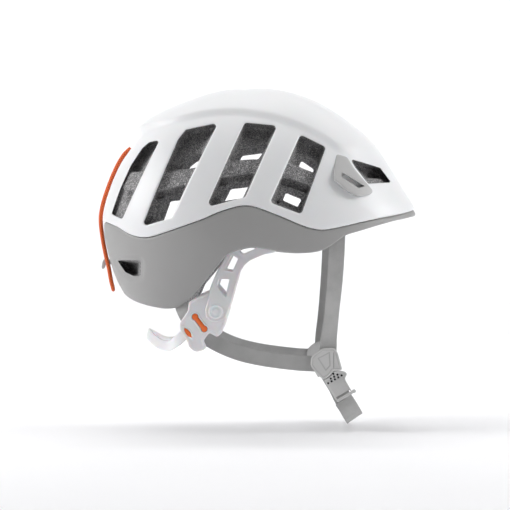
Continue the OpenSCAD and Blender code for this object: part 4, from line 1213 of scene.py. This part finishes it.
# ---- comfort pads ----
def make_pad(name, node, low, high, bottom, top, channels):
    """A covered foam pad on the wall of the head cavity. It is stuffed by a cloth simulation, with its back
    and its quilting channels held."""
    r = float(cavity(np.array([(low + high) / 2]), np.array([(bottom + top) / 2]))[0])
    wide = math.radians(high - low) * r * math.cos(math.radians((bottom + top) / 2))
    tall = math.radians(top - bottom) * r
    nu, nv = int(wide / 2.4) // 2 * 2, int(tall / 2.4) // 2 * 2
    s, t = np.meshgrid(np.linspace(-1, 1, nu + 1), np.linspace(-1, 1, nv + 1), indexing="ij")
    u = s * (1 - 0.09 * (tall / wide) * np.abs(t) ** 5)
    v = t * (1 - 0.09 * np.abs(s) ** (5 * wide / tall))
    th, e = (low + high) / 2 + u * (high - low) / 2, (bottom + top) / 2 + v * (top - bottom) / 2
    edge = np.minimum((1 - np.abs(s)) * wide / 2, (1 - np.abs(t)) * tall / 2)
    fat = 1 - (1 - np.clip(edge / 5, 0, 1)) ** 2.4
    groove = np.zeros_like(s)
    for line in channels:
        groove = np.maximum(groove, np.exp(-((s - line + 0.1 * (wide > 60) * t) * wide / 2 / 2.2) ** 2))
    wall = cavity(th, e)
    front = place(th, e, wall - 1.6 - 3.9 * fat * (1 - 0.55 * groove))
    back = place(th, e, wall - 1.0 - 0.4 * (1 - fat))
    n, m = s.shape
    index = np.arange(n * m).reshape(n, m)
    rim = np.zeros((n, m), bool)
    rim[0, :] = rim[-1, :] = rim[:, 0] = rim[:, -1] = True
    other = np.where(rim, index, 0)
    other[~rim] = n * m + np.arange((~rim).sum())
    points = np.concatenate([front.reshape(-1, 3), back[~rim]])
    quads = [np.stack([g[:-1, :-1], g[1:, :-1], g[1:, 1:], g[:-1, 1:]], -1).reshape(-1, 4)
             for g in (index, other)]
    obj = make_piece(name, points, np.concatenate([quads[0], quads[1][:, ::-1]]), 180)
    held = np.concatenate([index[rim | (groove > 0.6)], other[~rim]])
    stuffed(obj, held, 1.3 * MM)
    round_off = obj.modifiers.new("smooth", "SUBSURF")
    round_off.levels = round_off.render_levels = 1
    finish_piece(obj, "helmet", PAD, "comfort_pad", node)


def stuffed(obj, held, cap):
    """Stuffing by cloth pressure, with no vertex moved further than the cap."""
    group = obj.vertex_groups.new(name="held")
    group.add([int(i) for i in held], 1, "REPLACE")
    cloth = obj.modifiers.new("filling", "CLOTH")
    cloth.settings.vertex_group_mass = "held"
    cloth.settings.use_pressure = True
    cloth.settings.uniform_pressure_force = 4
    cloth.settings.effector_weights.gravity = 0
    for frame in range(1, 21):
        scene.frame_set(frame)
    made = obj.evaluated_get(bpy.context.evaluated_depsgraph_get()).to_mesh()
    before, after = (np.empty(len(obj.data.vertices) * 3) for _ in range(2))
    obj.data.vertices.foreach_get("co", before)
    made.vertices.foreach_get("co", after)
    before, after = before.reshape(-1, 3), after.reshape(-1, 3)
    move = after - before
    far = np.maximum(np.linalg.norm(move, axis=1, keepdims=True), 1e-9)
    after = before + move * np.minimum(1, cap / far)
    obj.modifiers.remove(cloth)
    obj.vertex_groups.clear()
    scene.frame_set(1)
    obj.data.vertices.foreach_set("co", after.astype(np.float32).ravel())
    obj.data.update()


make_pad("brow_cushion", "forehead_pad", -48, 48, 9, 24, (-0.6, -0.2, 0.2, 0.6))
make_pad("crown_cushion_front", "crown_pad_front", -24, 24, 48, 68, (0,))
make_pad("crown_cushion_rear", "crown_pad_rear", 150, 210, 42, 62, (0,))

# ---- floor and light ----
def make_stage():
    mesh = bpy.data.meshes.new("floor")
    z = cad_box[0].z - 0.004
    width, height, start, end, bend = 2.2, 3.0, -1.5, 2.2, 0.9
    profile = [(start, z), (end, z)]
    profile += [(end + bend * math.sin(a), z + bend - bend * math.cos(a))
                for a in np.linspace(0.1, math.pi / 2, 12)]
    profile += [(end + bend, height)]
    verts = [(x, y, h) for y, h in profile for x in (-width, width)]
    faces = [(2 * i, 2 * i + 1, 2 * i + 3, 2 * i + 2) for i in range(len(profile) - 1)]
    mesh.from_pydata(verts, [], faces)
    mesh.shade_smooth()
    floor = bpy.data.objects.new("floor", mesh)
    scene.collection.objects.link(floor)
    paper = Finish("paper", 0.9)
    tone = paper.ramp(paper.noise(3), (0.3, grey(0.93)), (0.7, grey(0.95)))
    floor.data.materials.append(paper.set(Base_Color=tone))


def area_light(name, place_at, look_at, size, power):
    data = bpy.data.lights.new(name, "AREA")
    data.shape = "RECTANGLE"
    data.size, data.size_y = size
    data.energy = power
    light = bpy.data.objects.new(name, data)
    light.location = place_at
    light.rotation_euler = (Vector(look_at) - Vector(place_at)).to_track_quat("-Z", "Y").to_euler()
    scene.collection.objects.link(light)


make_stage()
world = bpy.data.worlds.new("studio")
scene.world = world
world.use_nodes = True
sky = world.node_tree
lean = sky.nodes.new("ShaderNodeSeparateXYZ")
sky.links.new(sky.nodes.new("ShaderNodeTexCoord").outputs["Generated"], lean.inputs[0])
fade = sky.nodes.new("ShaderNodeMapRange")
for name, value in (("From Min", 0.05), ("From Max", 0.12), ("To Min", 0.75), ("To Max", 0.03)):
    fade.inputs[name].default_value = value
sky.links.new(lean.outputs["Z"], fade.inputs["Value"])
sky.links.new(fade.outputs["Result"], sky.nodes["Background"].inputs["Strength"])
sky.nodes["Background"].inputs["Color"].default_value = (1, 1, 1, 1)
area_light("key", (-2.3, -0.4, 1.1), (0, 0, 0), (1.2, 1.2), 48)
area_light("top", (0.3, 0.0, 2.0), (0, 0, 0), (2.4, 2.4), 16.5)
area_light("front", (2.3, -0.4, 0.9), (0, 0, 0), (1.2, 1.2), 37)
area_light("backdrop", (0, 1.1, 2.4), (0, 3.0, 0.4), (4.0, 0.8), 52)
area_light("floor_light", (0, 0.9, 1.5), (0, 0.55, -0.17), (3.0, 0.6), 4)
scene.view_settings.view_transform = "Standard"
